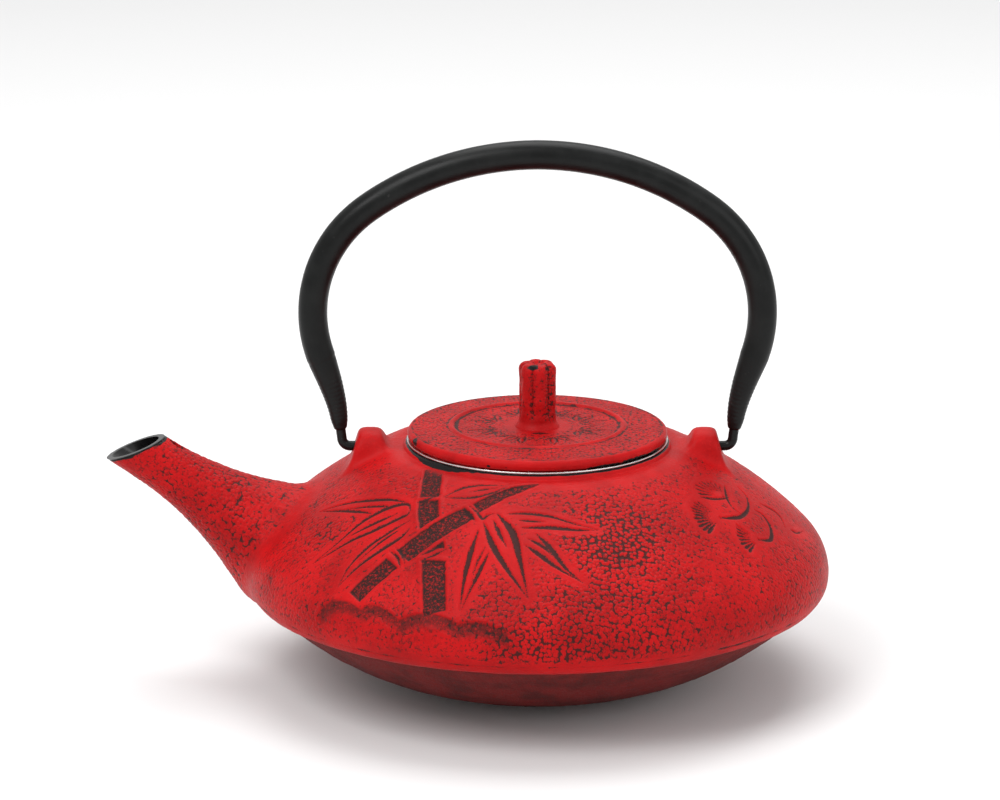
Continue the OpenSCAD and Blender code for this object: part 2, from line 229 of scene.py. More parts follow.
# ---------------------------------------------------------------- material helpers
class Paint:
    """A short way to write one node material."""

    def __init__(self, name):
        self.material = bpy.data.materials.new(name)
        self.material.use_nodes = True
        self.nodes = self.material.node_tree.nodes
        self.links = self.material.node_tree.links
        self.nodes.clear()
        self.shader = self.nodes.new("ShaderNodeBsdfPrincipled")
        out = self.nodes.new("ShaderNodeOutputMaterial")
        self.links.new(self.shader.outputs["BSDF"], out.inputs["Surface"])
        self.place = self.nodes.new("ShaderNodeTexCoord").outputs["Object"]

    def put(self, socket, value):
        if hasattr(value, "links"):
            self.links.new(value, socket)
        elif isinstance(value, tuple) and len(value) == 3 and socket.type == "RGBA":
            socket.default_value = (*value, 1)
        else:
            socket.default_value = value

    def set(self, **values):
        for key, value in values.items():
            self.put(self.shader.inputs[key.replace("_", " ")], value)

    def math(self, kind, a, b=0.0, clamp=False):
        node = self.nodes.new("ShaderNodeMath")
        node.operation, node.use_clamp = kind, clamp
        self.put(node.inputs[0], a)
        self.put(node.inputs[1], b)
        return node.outputs[0]

    def add(self, a, b, clamp=False):
        return self.math("ADD", a, b, clamp)

    def times(self, a, b, clamp=False):
        return self.math("MULTIPLY", a, b, clamp)

    def step(self, value, low, high, to_low=0.0, to_high=1.0):
        """value mapped smoothly from low..high to to_low..to_high."""
        node = self.nodes.new("ShaderNodeMapRange")
        node.interpolation_type = "SMOOTHSTEP"
        for key, v in zip((0, 1, 2, 3, 4), (value, low, high, to_low, to_high)):
            self.put(node.inputs[key], v)
        return node.outputs[0]

    def mix(self, amount, a, b):
        node = self.nodes.new("ShaderNodeMix")
        node.data_type = "RGBA"
        self.put(node.inputs[0], amount)
        self.put(node.inputs[6], a)
        self.put(node.inputs[7], b)
        return node.outputs[2]

    def scaled(self, x, y, z):
        node = self.nodes.new("ShaderNodeMapping")
        self.links.new(self.place, node.inputs[0])
        node.inputs["Scale"].default_value = (x, y, z)
        return node.outputs[0]

    def noise(self, size, detail=3.0, rough=0.5, at=None, stretch=0.0):
        """Noise whose lumps are about size mm."""
        node = self.nodes.new("ShaderNodeTexNoise")
        self.links.new(at or self.place, node.inputs["Vector"])
        node.inputs["Scale"].default_value = 1000.0 / size
        node.inputs["Detail"].default_value = detail
        node.inputs["Roughness"].default_value = rough
        node.inputs["Distortion"].default_value = stretch
        return node.outputs["Fac"]

    def cells(self, size, sheet=None):
        """Distance from the middles of irregular cells size mm wide, in cells; flat on sheet if given."""
        wave = self.nodes.new("ShaderNodeTexNoise")
        self.links.new(self.place, wave.inputs["Vector"])
        wave.inputs["Scale"].default_value = 1000.0 / (1.8 * size)
        shift = self.nodes.new("ShaderNodeVectorMath")
        shift.operation = "MULTIPLY_ADD"
        self.links.new(wave.outputs["Color"], shift.inputs[0])
        shift.inputs[1].default_value = (0.45 * size * MM,) * 3
        self.links.new(sheet or self.place, shift.inputs[2])
        node = self.nodes.new("ShaderNodeTexVoronoi")
        node.voronoi_dimensions = "2D" if sheet else "3D"
        node.feature = "F1"
        self.links.new(shift.outputs[0], node.inputs["Vector"])
        node.inputs["Scale"].default_value = 1000.0 / size
        node.inputs["Randomness"].default_value = 0.8
        return node.outputs["Distance"]

    def attr(self, name, kind="Fac"):
        node = self.nodes.new("ShaderNodeAttribute")
        node.attribute_name = name
        return node.outputs[kind]

    def bump(self, height, depth_mm, strength=1.0, on=None):
        node = self.nodes.new("ShaderNodeBump")
        node.inputs["Strength"].default_value = strength
        node.inputs["Distance"].default_value = depth_mm * MM
        self.put(node.inputs["Height"], height)
        if on is not None:
            self.links.new(on, node.inputs["Normal"])
        return node.outputs["Normal"]


RED = (0.470, 0.0050, 0.0062)
RED_DEEP = (0.350, 0.0036, 0.0046)
RED_LIT = (0.545, 0.0095, 0.0100)
SOOT = (0.0230, 0.0105, 0.0095)


def red_iron(name, cell, layout="solid"):
    """Red paint on rough cast iron, rubbed back so that dark shows in the hollows between its pebbles."""
    p = Paint(name)
    sheet = p.attr("sheet", "Vector") if layout == "sheet" else p.place if layout == "top" else None
    cloud = p.noise(14, 4, 0.55)
    fine = p.noise(0.8, 4, 0.6)
    grit = p.noise(0.35, 2, 0.5)
    off = p.math("SUBTRACT", fine, 0.5)
    soot = p.attr("soot")
    away = p.cells(cell, sheet)
    dust = p.noise(1.15, 2, 0.5)
    colour = p.mix(p.step(cloud, 0.35, 0.65), RED, RED_DEEP)
    colour = p.mix(p.step(fine, 0.5, 0.72, 0.0, 0.5), colour, RED_LIT)
    reach = p.add(p.times(soot, 0.45), p.times(off, 0.55))
    reach = p.add(reach, away)
    pit = p.step(reach, 0.80, 0.95, 0.0, 0.92)
    speck = p.step(p.add(p.times(grit, 0.35), p.times(dust, 0.65)), 0.53, 0.63, 0.0, 0.72)
    pit = p.math("MAXIMUM", pit, p.times(speck, p.step(soot, 0.03, 0.35)))
    colour = p.mix(p.times(pit, p.step(soot, 0.02, 0.12), True), colour, SOOT)
    grain = p.times(p.step(p.add(fine, p.times(grit, 0.5)),
                                      0.70, 0.98, 1.0, 0.25), p.attr("grain"), True)
    colour = p.mix(grain, colour, SOOT)
    cut = p.add(p.math("MINIMUM", p.attr("carve"), 0.40), p.times(off, 1.0))
    cut = p.add(cut, p.times(p.math("SUBTRACT", grit, 0.42), 0.9))
    cut = p.step(cut, -0.06, 0.26, 0.0, 0.95)
    colour = p.mix(cut, colour, SOOT)
    # black: black enamel and bare iron, with painted shade in it along the pot's lip and the lower edge of
    # the lid's rim.
    black = p.step(p.add(p.attr("black"), p.times(off, 0.4)), 0.42, 0.58)
    colour = p.mix(black, colour, (0.012, 0.011, 0.011))
    rough = p.add(p.step(fine, 0.3, 0.7, 0.38, 0.52), p.times(grain, 0.2))
    rough = p.add(rough, p.times(black, -0.22), True)
    swell = p.times(p.step(away, 0.15, 0.75, 1.0, 0.0), p.step(soot, 0.02, 0.7, 0.0, 1.6))
    height = p.add(p.add(fine, p.times(grit, 0.4)), swell)
    p.set(Base_Color=colour, Roughness=rough, Normal=p.bump(height, 0.10))
    p.set(Specular_IOR_Level=0.10)
    return p.material


# ---------------------------------------------------------------- the pot's outer form
def body_field(r, z):
    """Signed distance to the turned body, its rim band and the flat parting face at BAND_Z."""
    shoulder = np.hypot(r - SHOULDER_C[0], z - SHOULDER_C[1]) - SHOULDER_R
    turn = np.hypot(r - TURN_C[0], z - TURN_C[1]) - TURN_R
    rim = np.hypot(r - RIM_C[0], z - RIM_C[1]) - RIM_R
    end_r, end_z = RIM_C[0] + RIM_R * cos(RIM_A), RIM_C[1] - RIM_R * sin(RIM_A)
    run = hypot(end_r - BAND_R, end_z - BAND_Z)
    band = ((r - end_r) * (end_z - BAND_Z) - (z - end_z) * (end_r - BAND_R)) / run
    below = np.where(np.arctan2(z - RIM_C[1], r - RIM_C[0]) > -RIM_A, rim, band)
    d = np.where(np.arctan2(z - SHOULDER_C[1], r - SHOULDER_C[0]) > TURN_A, shoulder,
                 np.where(z > EQUATOR_Z, turn, below))
    d = smax(d, z - SHELF_Z, 0.8)
    q_r, q_z = r - LAND_R + LIP_ROUND, z - LAND_Z + LIP_ROUND
    lip = np.hypot(np.maximum(q_r, 0), np.maximum(q_z, 0)) + np.minimum(np.maximum(q_r, q_z), 0) - LIP_ROUND
    return smax(smin(d, lip, 0.5), BAND_Z - z, 0.4)


def spout_frame(x, y, z):
    """Distance along the spout's axis and from it."""
    s = (x - SPOUT_P[0]) * SPOUT_AXIS[0] + (z - SPOUT_P[2]) * SPOUT_AXIS[2]
    across = (x - SPOUT_P[0]) * SPOUT_AXIS[2] - (z - SPOUT_P[2]) * SPOUT_AXIS[0]
    return s, np.hypot(across, y)


def spout_field(x, y, z):
    s, rho = spout_frame(x, y, z)
    flare = FLARE_R - np.hypot(rho - SPOUT_R - FLARE_R, s - FLARE_START)
    cone = (rho - FLARE_END_R + (s - FLARE_END) * tan(FLARE_A)) * cos(FLARE_A)
    d = np.where(s > FLARE_START, rho - SPOUT_R, np.where(s > FLARE_END, flare, cone))
    cut = (x - CUT_P[0]) * CUT_N[0] + (z - CUT_P[2]) * CUT_N[2] + ENAMEL
    d = smax(d, cut, 0.7)
    d = smax(d, SPOUT_LOW_Z - z, 2.0)
    return np.maximum(d, SPOUT_ROOT - s)


def channel_field(x, y, z):
    """Negative inside the spout's channel."""
    s, rho = spout_frame(x, y, z)
    radius = CHANNEL_R + np.clip(-s / 25.0, 0, 1) * (PORT_R - CHANNEL_R)
    return np.maximum(rho - radius, SPOUT_ROOT - s)


def ear_field(x, y, z):
    """Signed distance to the two ears: sloping faces outside and inside, and a rounded top."""
    x = np.abs(x)
    outer = (x - EAR_OUT_X) * EAR_OUT_N[0] + (z - EAR_LEVEL) * EAR_OUT_N[1]
    inner = (EAR_IN_X - x) * EAR_IN_N[0] + (z - EAR_LEVEL) * EAR_IN_N[1]
    side = smax(smax(outer, inner, 2.4), z - EAR_TOP, 2.0)
    across = np.hypot(y, np.maximum(z - EAR_ROUND_Z, 0)) - EAR_R
    return smax(side, across, 2.2)


def iron_field(x, y, z):
    """Signed distance to the whole casting above the parting face, without its hollow inside."""
    body = body_field(np.hypot(x, y), z)
    d = smin(body, spout_field(x, y, z), 5.0)
    d = smin(d, ear_field(x, y, z), 3.5)
    d = smax(d, BAND_Z - z, 0.4)
    bore = np.maximum(np.hypot(y, z - PIVOT_Z) - EAR_BORE_R, EAR_BORE_X - np.abs(x))
    d = smax(d, -bore, 0.35)
    return smax(d, -channel_field(x, y, z), 0.5)


def gradient(field, p, h=0.05):
    g = np.empty_like(p)
    for k in range(3):
        a, b = p.copy(), p.copy()
        a[:, k] += h
        b[:, k] -= h
        g[:, k] = field(*a.T) - field(*b.T)
    return g / (2 * h)


def project(field, p, times):
    for _ in range(times):
        g = gradient(field, p)
        p = p - g * (field(*p.T) / np.maximum((g * g).sum(1), 0.2))[:, None]
    return p


def surface_net(field, low, high, step):
    """A quad mesh of the surface where field is zero, one vertex in each crossed cell."""
    axes = [np.arange(a, b + step, step) for a, b in zip(low, high)]
    inside = np.empty([len(a) for a in axes], bool)
    x, y = axes[0][:, None].astype(np.float32), axes[1][None, :].astype(np.float32)
    for k, z in enumerate(axes[2]):
        inside[:, :, k] = field(x, y, np.float32(z)) < 0
    corners = [inside[i:i - 1 or None, j:j - 1 or None, k:k - 1 or None]
               for i in (0, 1) for j in (0, 1) for k in (0, 1)]
    some, every = corners[0].copy(), corners[0].copy()
    for c in corners[1:]:
        some |= c
        every &= c
    where = np.nonzero(some & ~every)
    number = np.full(some.shape, -1, np.int32)
    number[where] = np.arange(len(where[0]))
    points = np.stack([axes[k][where[k]] + step / 2 for k in range(3)], 1)
    quads = []
    for axis in range(3):
        u, v = (axis + 1) % 3, (axis + 2) % 3
        first = [slice(None)] * 3
        second = [slice(None)] * 3
        first[axis], second[axis] = slice(None, -1), slice(1, None)
        a, b = inside[tuple(first)], inside[tuple(second)]
        at = np.stack(np.nonzero(a != b), 1)
        size = np.array(some.shape)
        ok = (at[:, u] > 0) & (at[:, v] > 0) & (at[:, u] < size[u]) & (at[:, v] < size[v])
        at = at[ok]
        out = a[tuple(at.T)]
        ring = []
        for du, dv in ((-1, -1), (0, -1), (0, 0), (-1, 0)):
            c = at.copy()
            c[:, u] += du
            c[:, v] += dv
            ring.append(number[tuple(c.T)])
        ring = np.stack(ring, 1)
        ring[~out] = ring[~out][:, ::-1]
        quads.append(ring)
    return points, np.concatenate(quads)


def relax(p, quads, times, field):
    """Evens the mesh out along its own surface."""
    a = np.concatenate([quads[:, i] for i in range(4)] * 2)
    b = np.concatenate([quads[:, (i + 1) % 4] for i in range(4)] + [quads[:, (i + 3) % 4] for i in range(4)])
    n = np.bincount(a, minlength=len(p))[:, None]
    for _ in range(times):
        mean = np.stack([np.bincount(a, p[b, k], len(p)) for k in range(3)], 1) / n
        p = project(field, p + 0.5 * (mean - p), 1)
    return p


# ---------------------------------------------------------------- relief on the shoulder
SHEET_R, SHEET_TURN = 56.0, 0.84


def shoulder_run(r, z):
    """Arc length down the pot's outline, in mm, from where the shoulder starts."""
    a = np.arctan2(z - SHOULDER_C[1], r - SHOULDER_C[0])
    t = np.arctan2(z - TURN_C[1], r - TURN_C[0])
    m = np.arctan2(z - RIM_C[1], r - RIM_C[0])
    down = SHOULDER_R * (SHOULDER_A - a)
    turn = SHOULDER_R * (SHOULDER_A - TURN_A) + TURN_R * (TURN_A - t)
    rim = SHOULDER_R * (SHOULDER_A - TURN_A) + TURN_R * TURN_A - RIM_R * m
    return np.where(a > TURN_A, down, np.where(z > EQUATOR_Z, turn, rim))


def to_sheet(x, y, s):
    """Places on the shoulder laid out flat: u to the right and v up, from the middle of the front."""
    rho = s + SHEET_R
    a = SHEET_TURN * np.arctan2(x, np.abs(y))
    return rho * np.sin(a), SHEET_R - rho * np.cos(a)


def to_line(u, v, line):
    """Distance from each place to a line of points, and how far along it from 0 to 1."""
    best, along = np.full(len(u), 1e9), np.zeros(len(u))
    for i in range(len(line) - 1):
        a, d = line[i], line[i + 1] - line[i]
        t = np.clip(((u - a[0]) * d[0] + (v - a[1]) * d[1]) / max(d @ d, 1e-9), 0, 1)
        dist = np.hypot(u - a[0] - t * d[0], v - a[1] - t * d[1])
        closer = dist < best
        best = np.where(closer, dist, best)
        along = np.where(closer, (i + t) / (len(line) - 1), along)
    return best, along


class Relief:
    """What is cut into the iron at a set of places on the flat sheet."""

    def __init__(self, u, v):
        self.u, self.v = u, v
        self.rough = value_noise(np.stack([u, v, 0 * u], 1), 1.6, 71)
        self.carve = np.full(len(u), -9.0)
        self.deep = np.zeros(len(u))
        self.grain = np.zeros(len(u))
        self.ridge = np.zeros(len(u))
        self.near = np.full(len(u), 99.0)

    def part(self, line, reach):
        low, high = line.min(0) - reach, line.max(0) + reach
        return np.nonzero((self.u > low[0]) & (self.u < high[0]) & (self.v > low[1]) & (self.v < high[1]))[0]

    def groove(self, line, width, deep=0.4, fat=0.35, halo=True):
        """A tapered cut along a line, widest a share fat of the way along."""
        line = np.asarray(line, float)
        k = self.part(line, 12.0)
        dist, t = to_line(self.u[k], self.v[k], line)
        taper = np.where(t < fat, smooth(t, -0.25 * fat, fat), 1 - smooth(t, fat, 1.08)) ** 0.8
        cut = width / 2 * taper - dist
        self.carve[k] = np.maximum(self.carve[k], cut)
        self.deep[k] = np.maximum(self.deep[k], deep * smooth(cut, -0.35, 0.25))
        if halo:
            self.near[k] = np.minimum(self.near[k], dist)

    def stalk(self, line, widths, gaps=(), cross=None):
        """A sunken, grainy strip with a raised edge. gaps are its node rings: place, slant and half width."""
        line = even(curved(line), 1.5)
        k = self.part(line, 14.0)
        dist, t = to_line(self.u[k], self.v[k], line)
        length = np.hypot(*np.diff(line, axis=0).T).sum()
        half = np.interp(t, np.linspace(0, 1, len(widths)), widths) / 2
        inside = half - dist + 0.22 * self.rough[k]
        for place, slant, wide in gaps:
            side = (self.u[k] - line[0, 0]) * (line[-1, 1] - line[0, 1]) - \
                   (self.v[k] - line[0, 1]) * (line[-1, 0] - line[0, 0])
            side = side / length
            off = np.abs((t - place) * length + slant * side)
            inside = np.minimum(inside, off - wide)
        if cross is not None:
            over, _ = to_line(self.u[k], self.v[k], curved(cross))
            inside = np.minimum(inside, over - 4.9)
        self.grain[k] = np.maximum(self.grain[k], smooth(inside, -0.15, 0.35))
        self.carve[k] = np.maximum(self.carve[k], np.where(np.abs(inside - 0.3) < 0.3, 0.02, -9.0))
        self.deep[k] = np.maximum(self.deep[k], 0.42 * smooth(inside, -0.2, 0.7))
        self.ridge[k] = np.maximum(self.ridge[k], 0.22 * between(-inside, -0.1, 0.5, 0.5, 2.2)
                                   * (dist < half + 2.6))
        self.near[k] = np.minimum(self.near[k], dist - half * 0.6)

    def crest(self, line, reach):
        """The wavy top edge of a clump of ground, with grain that fades under it."""
        k = self.part(line, 8.0)
        u, v = self.u[k], self.v[k]
        top = np.interp(u, line[:, 0], line[:, 1])
        start, stop = line[0, 0], line[-1, 0]
        end = between(u, start - 1.0, start + 1.5, stop - 1.5, stop + 1.0)
        under = top - v
        dark = between(under, -0.1, 0.6, 2.5, reach) * end
        self.grain[k] = np.maximum(self.grain[k], 0.75 * dark)
        self.deep[k] = np.maximum(self.deep[k], 0.28 * dark)
        self.ridge[k] = np.maximum(self.ridge[k], 0.25 * between(-under, -0.2, 0.4, 0.6, 2.6) * end)

    def fan(self, hub, radii, angles, n, widths):
        """A pine tuft: short cuts that spread from a hub, broadest at the rim."""
        hub = np.array(hub, float)
        for i in range(n):
            t = i / (n - 1)
            a = radians(angles[0] + (angles[1] - angles[0]) * t)
            reach = (radii[0] + (radii[1] - radii[0]) * t) * (0.95 + 0.09 * ((i * 7) % 5) / 4)
            way = np.array([cos(a), sin(a)])
            self.groove([hub + way * 0.38 * reach, hub + way * 0.7 * reach, hub + way * reach],
                        widths[0] + (widths[1] - widths[0]) * t, deep=0.4, fat=0.85)
        turns = np.radians(np.linspace(angles[0] + 8, angles[1] - 8, 16))
        spans = np.linspace(radii[0], radii[1], 16) * 1.14
        rim = hub + spans[:, None] * np.stack([np.cos(turns), np.sin(turns)], 1)
        k = self.part(rim, 5.0)
        dist, _ = to_line(self.u[k], self.v[k], rim)
        self.ridge[k] = np.maximum(self.ridge[k], 0.08 * (1 - smooth(dist, 0.2, 1.4)))
        self.groove([hub, hub + 0.3], 1.3, deep=0.4, fat=0.5)


def curved(points, per=6):
    """A smooth line through the given points."""
    q = np.asarray(points, float)
    q = np.vstack([2 * q[0] - q[1], q, 2 * q[-1] - q[-2]])
    t = np.linspace(0, 1, per, endpoint=False)[:, None]
    out = []
    for a, b, c, d in zip(q[:-3], q[1:-2], q[2:-1], q[3:]):
        out.append(b + 0.5 * t * (c - a + t * (2 * a - 5 * b + 4 * c - d + t * (3 * b - a - 3 * c + d))))
    return np.vstack(out + [q[-2:-1]])


def bamboo(sheet):
    """The motif on each side of the pot: two bamboo stalks, their leaves, ground and pine tufts."""
    upright = [(-34.3, 13), (-34.5, 0), (-34.9, -6), (-33.3, -22), (-32.8, -30), (-33, -49.5)]
    slant = [(-60, -36), (-47, -27.3), (-41.5, -24.4), (-30.7, -17.2), (-22, -12), (-12.8, -5.7),
             (-8, -3.2), (0, 0.2)]
    sheet.stalk(upright, (6.4, 6.6, 6.6, 7.2, 7.8, 7.5, 7.4), cross=slant,
                gaps=((0.245, 0.12, 0.8), (0.64, 0.28, 2.3), (1.0, -0.1, 0.4)))
    sheet.stalk(slant, (6.2, 6.2, 6.4, 6.9, 7.3, 7.3, 6.9, 4.6, 4.4, 3.6, 0.9),
                gaps=((0.0, 0.0, 0.4), (0.262, -0.10, 1.9), (0.665, 0.10, 1.3)))
    cut = sheet.groove
    for line in (((-38.6, -3.0), (-35.5, -2.6), (-30.8, -1.2)),
                 ((-36.8, -26.6), (-33, -25.4), (-29, -23.6)),
                 ((-37, -28.8), (-33, -27.6), (-28.6, -26.0)),
                 ((-46.9, -22.3), (-44.6, -25.2), (-43.6, -29.7)),
                 ((-44.9, -21.6), (-43.2, -24.4), (-42.0, -28.6))):
        cut(curved(line), 0.95, deep=0.3, fat=0.5, halo=False)
    cut(curved([(-23.6, -9.3), (-21.6, -12.2), (-19.5, -16.0)]), 1.5, deep=0.35, fat=0.5, halo=False)
    fork = [(-21.6, -8.8), (-19.4, -11.6), (-17.4, -15.0), (-15.6, -13.6), (-13.8, -13.2)]
    cut(curved(fork), 1.0, deep=0.3, fat=0.5)
    left = (
        (0.9, (-41.5, -2), (-47, 1.5), (-53.5, 4.3), (-64.5, 8.4), (-74.5, 10.6)),
        (0.8, (-53.5, -2.6), (-62, 2.9), (-74.5, 10.4)),
        (0.6, (-47.5, -1.6), (-53, 0.8), (-65, 5.3)),
        (1.2, (-40.7, -5.5), (-41.5, -3), (-44.3, -1.8), (-49.5, -2.1), (-57, -4.7), (-66, -10.4),
         (-75, -14.9)),
        (1.0, (-40.7, -5.5), (-41.8, -7.6), (-44, -8.3), (-52.4, -10.7), (-61.2, -11.9), (-68.5, -13.6),
         (-75, -14.9)),
        (0.9, (-45, -5.8), (-53, -7.6), (-62.2, -9.7)),
        (0.8, (-40.6, -10.6), (-46.3, -13.2), (-54, -16.9), (-61, -22.5), (-65.5, -29.4)),
        (1.0, (-40.5, -14), (-43.7, -17.3), (-49.6, -20.1), (-58.2, -24.3), (-65.5, -29.4)),
        (0.6, (-43.8, -13.7), (-49.6, -16.5), (-58.2, -22)),
        (0.7, (-30.3, -2.9), (-24.8, 0.2), (-18.5, 0.9), (-9, -0.5)),
        (0.7, (-29.9, -3.1), (-21.5, -4.8), (-15.2, -3.9), (-9, -0.6)),
        (0.4, (-21.6, -1.9), (-12.9, -1.2)))
    right = (
        (1.6, (-18.7, -19.8), (-21.3, -29.5), (-23.3, -38.7), (-24.8, -49.3)),
        (1.2, (-15.4, -29), (-18.2, -35.7), (-20.6, -40.9), (-24.5, -49.3)),
        (0.6, (-16.6, -27), (-19.4, -33.5), (-21, -40)),
        (1.9, (-17, -16.8), (-14.3, -26.4), (-9.7, -36.4), (-3.5, -47)),
        (2.2, (-12.7, -13.4), (-8.1, -21.8), (-5.9, -32.8), (-3.4, -47)),
        (1.2, (-14, -16.1), (-11.9, -22.6), (-9.7, -28)),
        (1.0, (-9.6, -13.7), (-4.2, -13.7), (3.4, -15.1), (11.1, -17.9), (18.3, -19.7)),
        (1.4, (-5, -19.9), (3.4, -19.9), (11.1, -20.4), (18.3, -19.9)),
        (0.8, (-6, -16.7), (2, -17.6)),
        (1.5, (-4, -27.2), (0.3, -31), (5.6, -35.7), (13.3, -40.8)),
        (1.6, (-0.8, -22.6), (3.4, -28), (7.9, -35.3), (13.3, -40.8)),
        (1.1, (-3.1, -24.6), (1.1, -27.6), (5, -32)))
    for width, *line in left:
        cut(curved(line), 1.2 * width + 0.25, deep=0.25 + 0.09 * width, fat=0.45)
    for width, *line in right:
        cut(curved(line), width + 0.15, deep=0.25 + 0.09 * width)
    for line in (((-75, -34.5), (-70, -33.2), (-65, -34.6), (-61, -37.2), (-57.5, -41)),
                 ((-58.4, -40.6), (-55.5, -40.2), (-52, -41.3), (-48.5, -44.2), (-44.5, -48.5)),
                 ((-46.5, -48.6), (-41, -47.8), (-36, -48.3), (-31, -50.1), (-25.5, -53.4)),
                 ((-27.5, -53.8), (-22, -53.6), (-17, -54.6), (-10, -58))):
        sheet.crest(curved(line), 6.2)
    sheet.fan((62.2, 10.9), (10.4, 6.4), (200, 92), 9, (0.85, 0.55))
    sheet.fan((59.5, -1.7), (11.2, 9.2), (243, 150), 11, (1.35, 0.60))
    sheet.fan((73.6, -4.6), (9.3, 8.2), (243, 163), 8, (1.25, 0.65))
    for width, *line in ((1.1, (53.2, 5.8), (57.8, 7.3), (62.1, 9.8), (64.6, 12.1)),
                         (1.5, (59.5, -1.7), (64, 0.6), (68, 3.7), (71.6, 10), (72.5, 17.5), (69.5, 22.5)),
                         (1.0, (64.2, 18.8), (63.8, 13.7), (64, 9.7), (65.7, 6.2), (68.4, 4.6)),
                         (1.5, (73.6, -4.6), (79, -1), (80, 6), (77.6, 10.9), (74.2, 11.4)),
                         (0.9, (77.7, 17.9), (83.7, 18.8), (86.4, 16.6), (86.9, 11.2)),
                         (0.9, (89.5, 12.6), (92.5, 13.6), (97, 19))):
        cut(curved(line), width + 0.1, deep=0.35, fat=0.3)


def shoulder_relief(p, s, blend):
    """Height in mm and the paint masks for vertices of the upper casting. blend is 1 on the turned body."""
    u, v = to_sheet(p[:, 0], p[:, 1], s)
    sheet = Relief(u, v)
    bamboo(sheet)
    wobble = value_noise(p, 9, 11)
    calm = smooth(sheet.near + 0.7 * wobble, 1.3, 3.4)
    calm *= between(s, 1.0, 4.5, 66.5, 69.5) * blend
    near, second = cells(p + 0.3 * np.stack([value_noise(p, 2.0, q) for q in (1, 2, 3)], 1), 1.5, 5)
    gap = second - near
    blot = np.exp(-((u - 22) / 19) ** 2 - ((v + 22) / 17) ** 2)
    foot = smooth(-v, 36, 46) * between(u, -28, -14, 34, 70)
    left = np.exp(-((u + 68) / 9) ** 2 - ((v + 4) / 9) ** 2)
    front = np.clip(1.30 * blot + 0.48 * foot + 0.55 * left, 0, 1)
    low = smooth(s, 52, 64) * between(u, -24, -10, 22, 55)
    strong = np.clip(0.45 + 0.55 * front + 0.25 * wobble, 0, 1)
    pebble = calm * strong
    lump = value_noise(p, 5.5, 31) * 0.05 + value_noise(p, 2.2, 32) * 0.03
    height = pebble * 0.08 * (smooth(gap, 0.0, 0.5) - 0.75) + lump * smooth(s, -2, 4)
    height += blend * (sheet.ridge - sheet.deep)
    grit = value_noise(p, 1.1, 33)
    height += blend * sheet.grain * 0.10 * grit
    soot = np.clip(0.36 + 0.58 * front + 0.16 * low + 0.13 * value_noise(p, 8, 41) + 0.06 * wobble, 0, 1.05)
    soot *= smooth(s, 1.0, 6.0) * calm
    carve = np.where(blend > 0.5, sheet.carve, -9.0)
    seam = 0.35 - np.abs(s - 69.8 - 0.25 * value_noise(p, 6, 51)) + 0.35 * value_noise(p, 3.2, 52) - 0.25
    carve = np.maximum(carve, np.where(blend > 0.6, seam, -9.0))
    height -= 0.18 * smooth(seam, -0.2, 0.2) * blend
    return height, {"soot": soot, "carve": np.clip(carve, -1, 1.5), "grain": sheet.grain * blend}


# ---------------------------------------------------------------- the casting above the parting face
def build_casting(step):
    p, quads = surface_net(iron_field, (-141.0, -96.5, BAND_Z - 0.9), (96.5, 96.5, 85.5), step)
    p = project(iron_field, p, 3)
    p = relax(p, quads, 3, iron_field)
    r = np.hypot(p[:, 0], p[:, 1])
    depth = body_field(r, p[:, 2])
    s_out, _ = spout_frame(*p.T)
    hidden = (r < MOUTH_R + 0.3) & (p[:, 2] > 60)
    hidden |= (r < INNER_R + 0.2) & (p[:, 2] < BAND_Z + 0.25)
    hidden |= (depth < -WALL - 0.2) & (p[:, 0] < -40) & (p[:, 2] > BAND_Z + 0.5) & (s_out < 6)
    quads = quads[~hidden[quads].any(1)]
    used = np.unique(quads)
    renumber = np.full(len(p), -1)
    renumber[used] = np.arange(len(used))
    return p[used], renumber[quads]


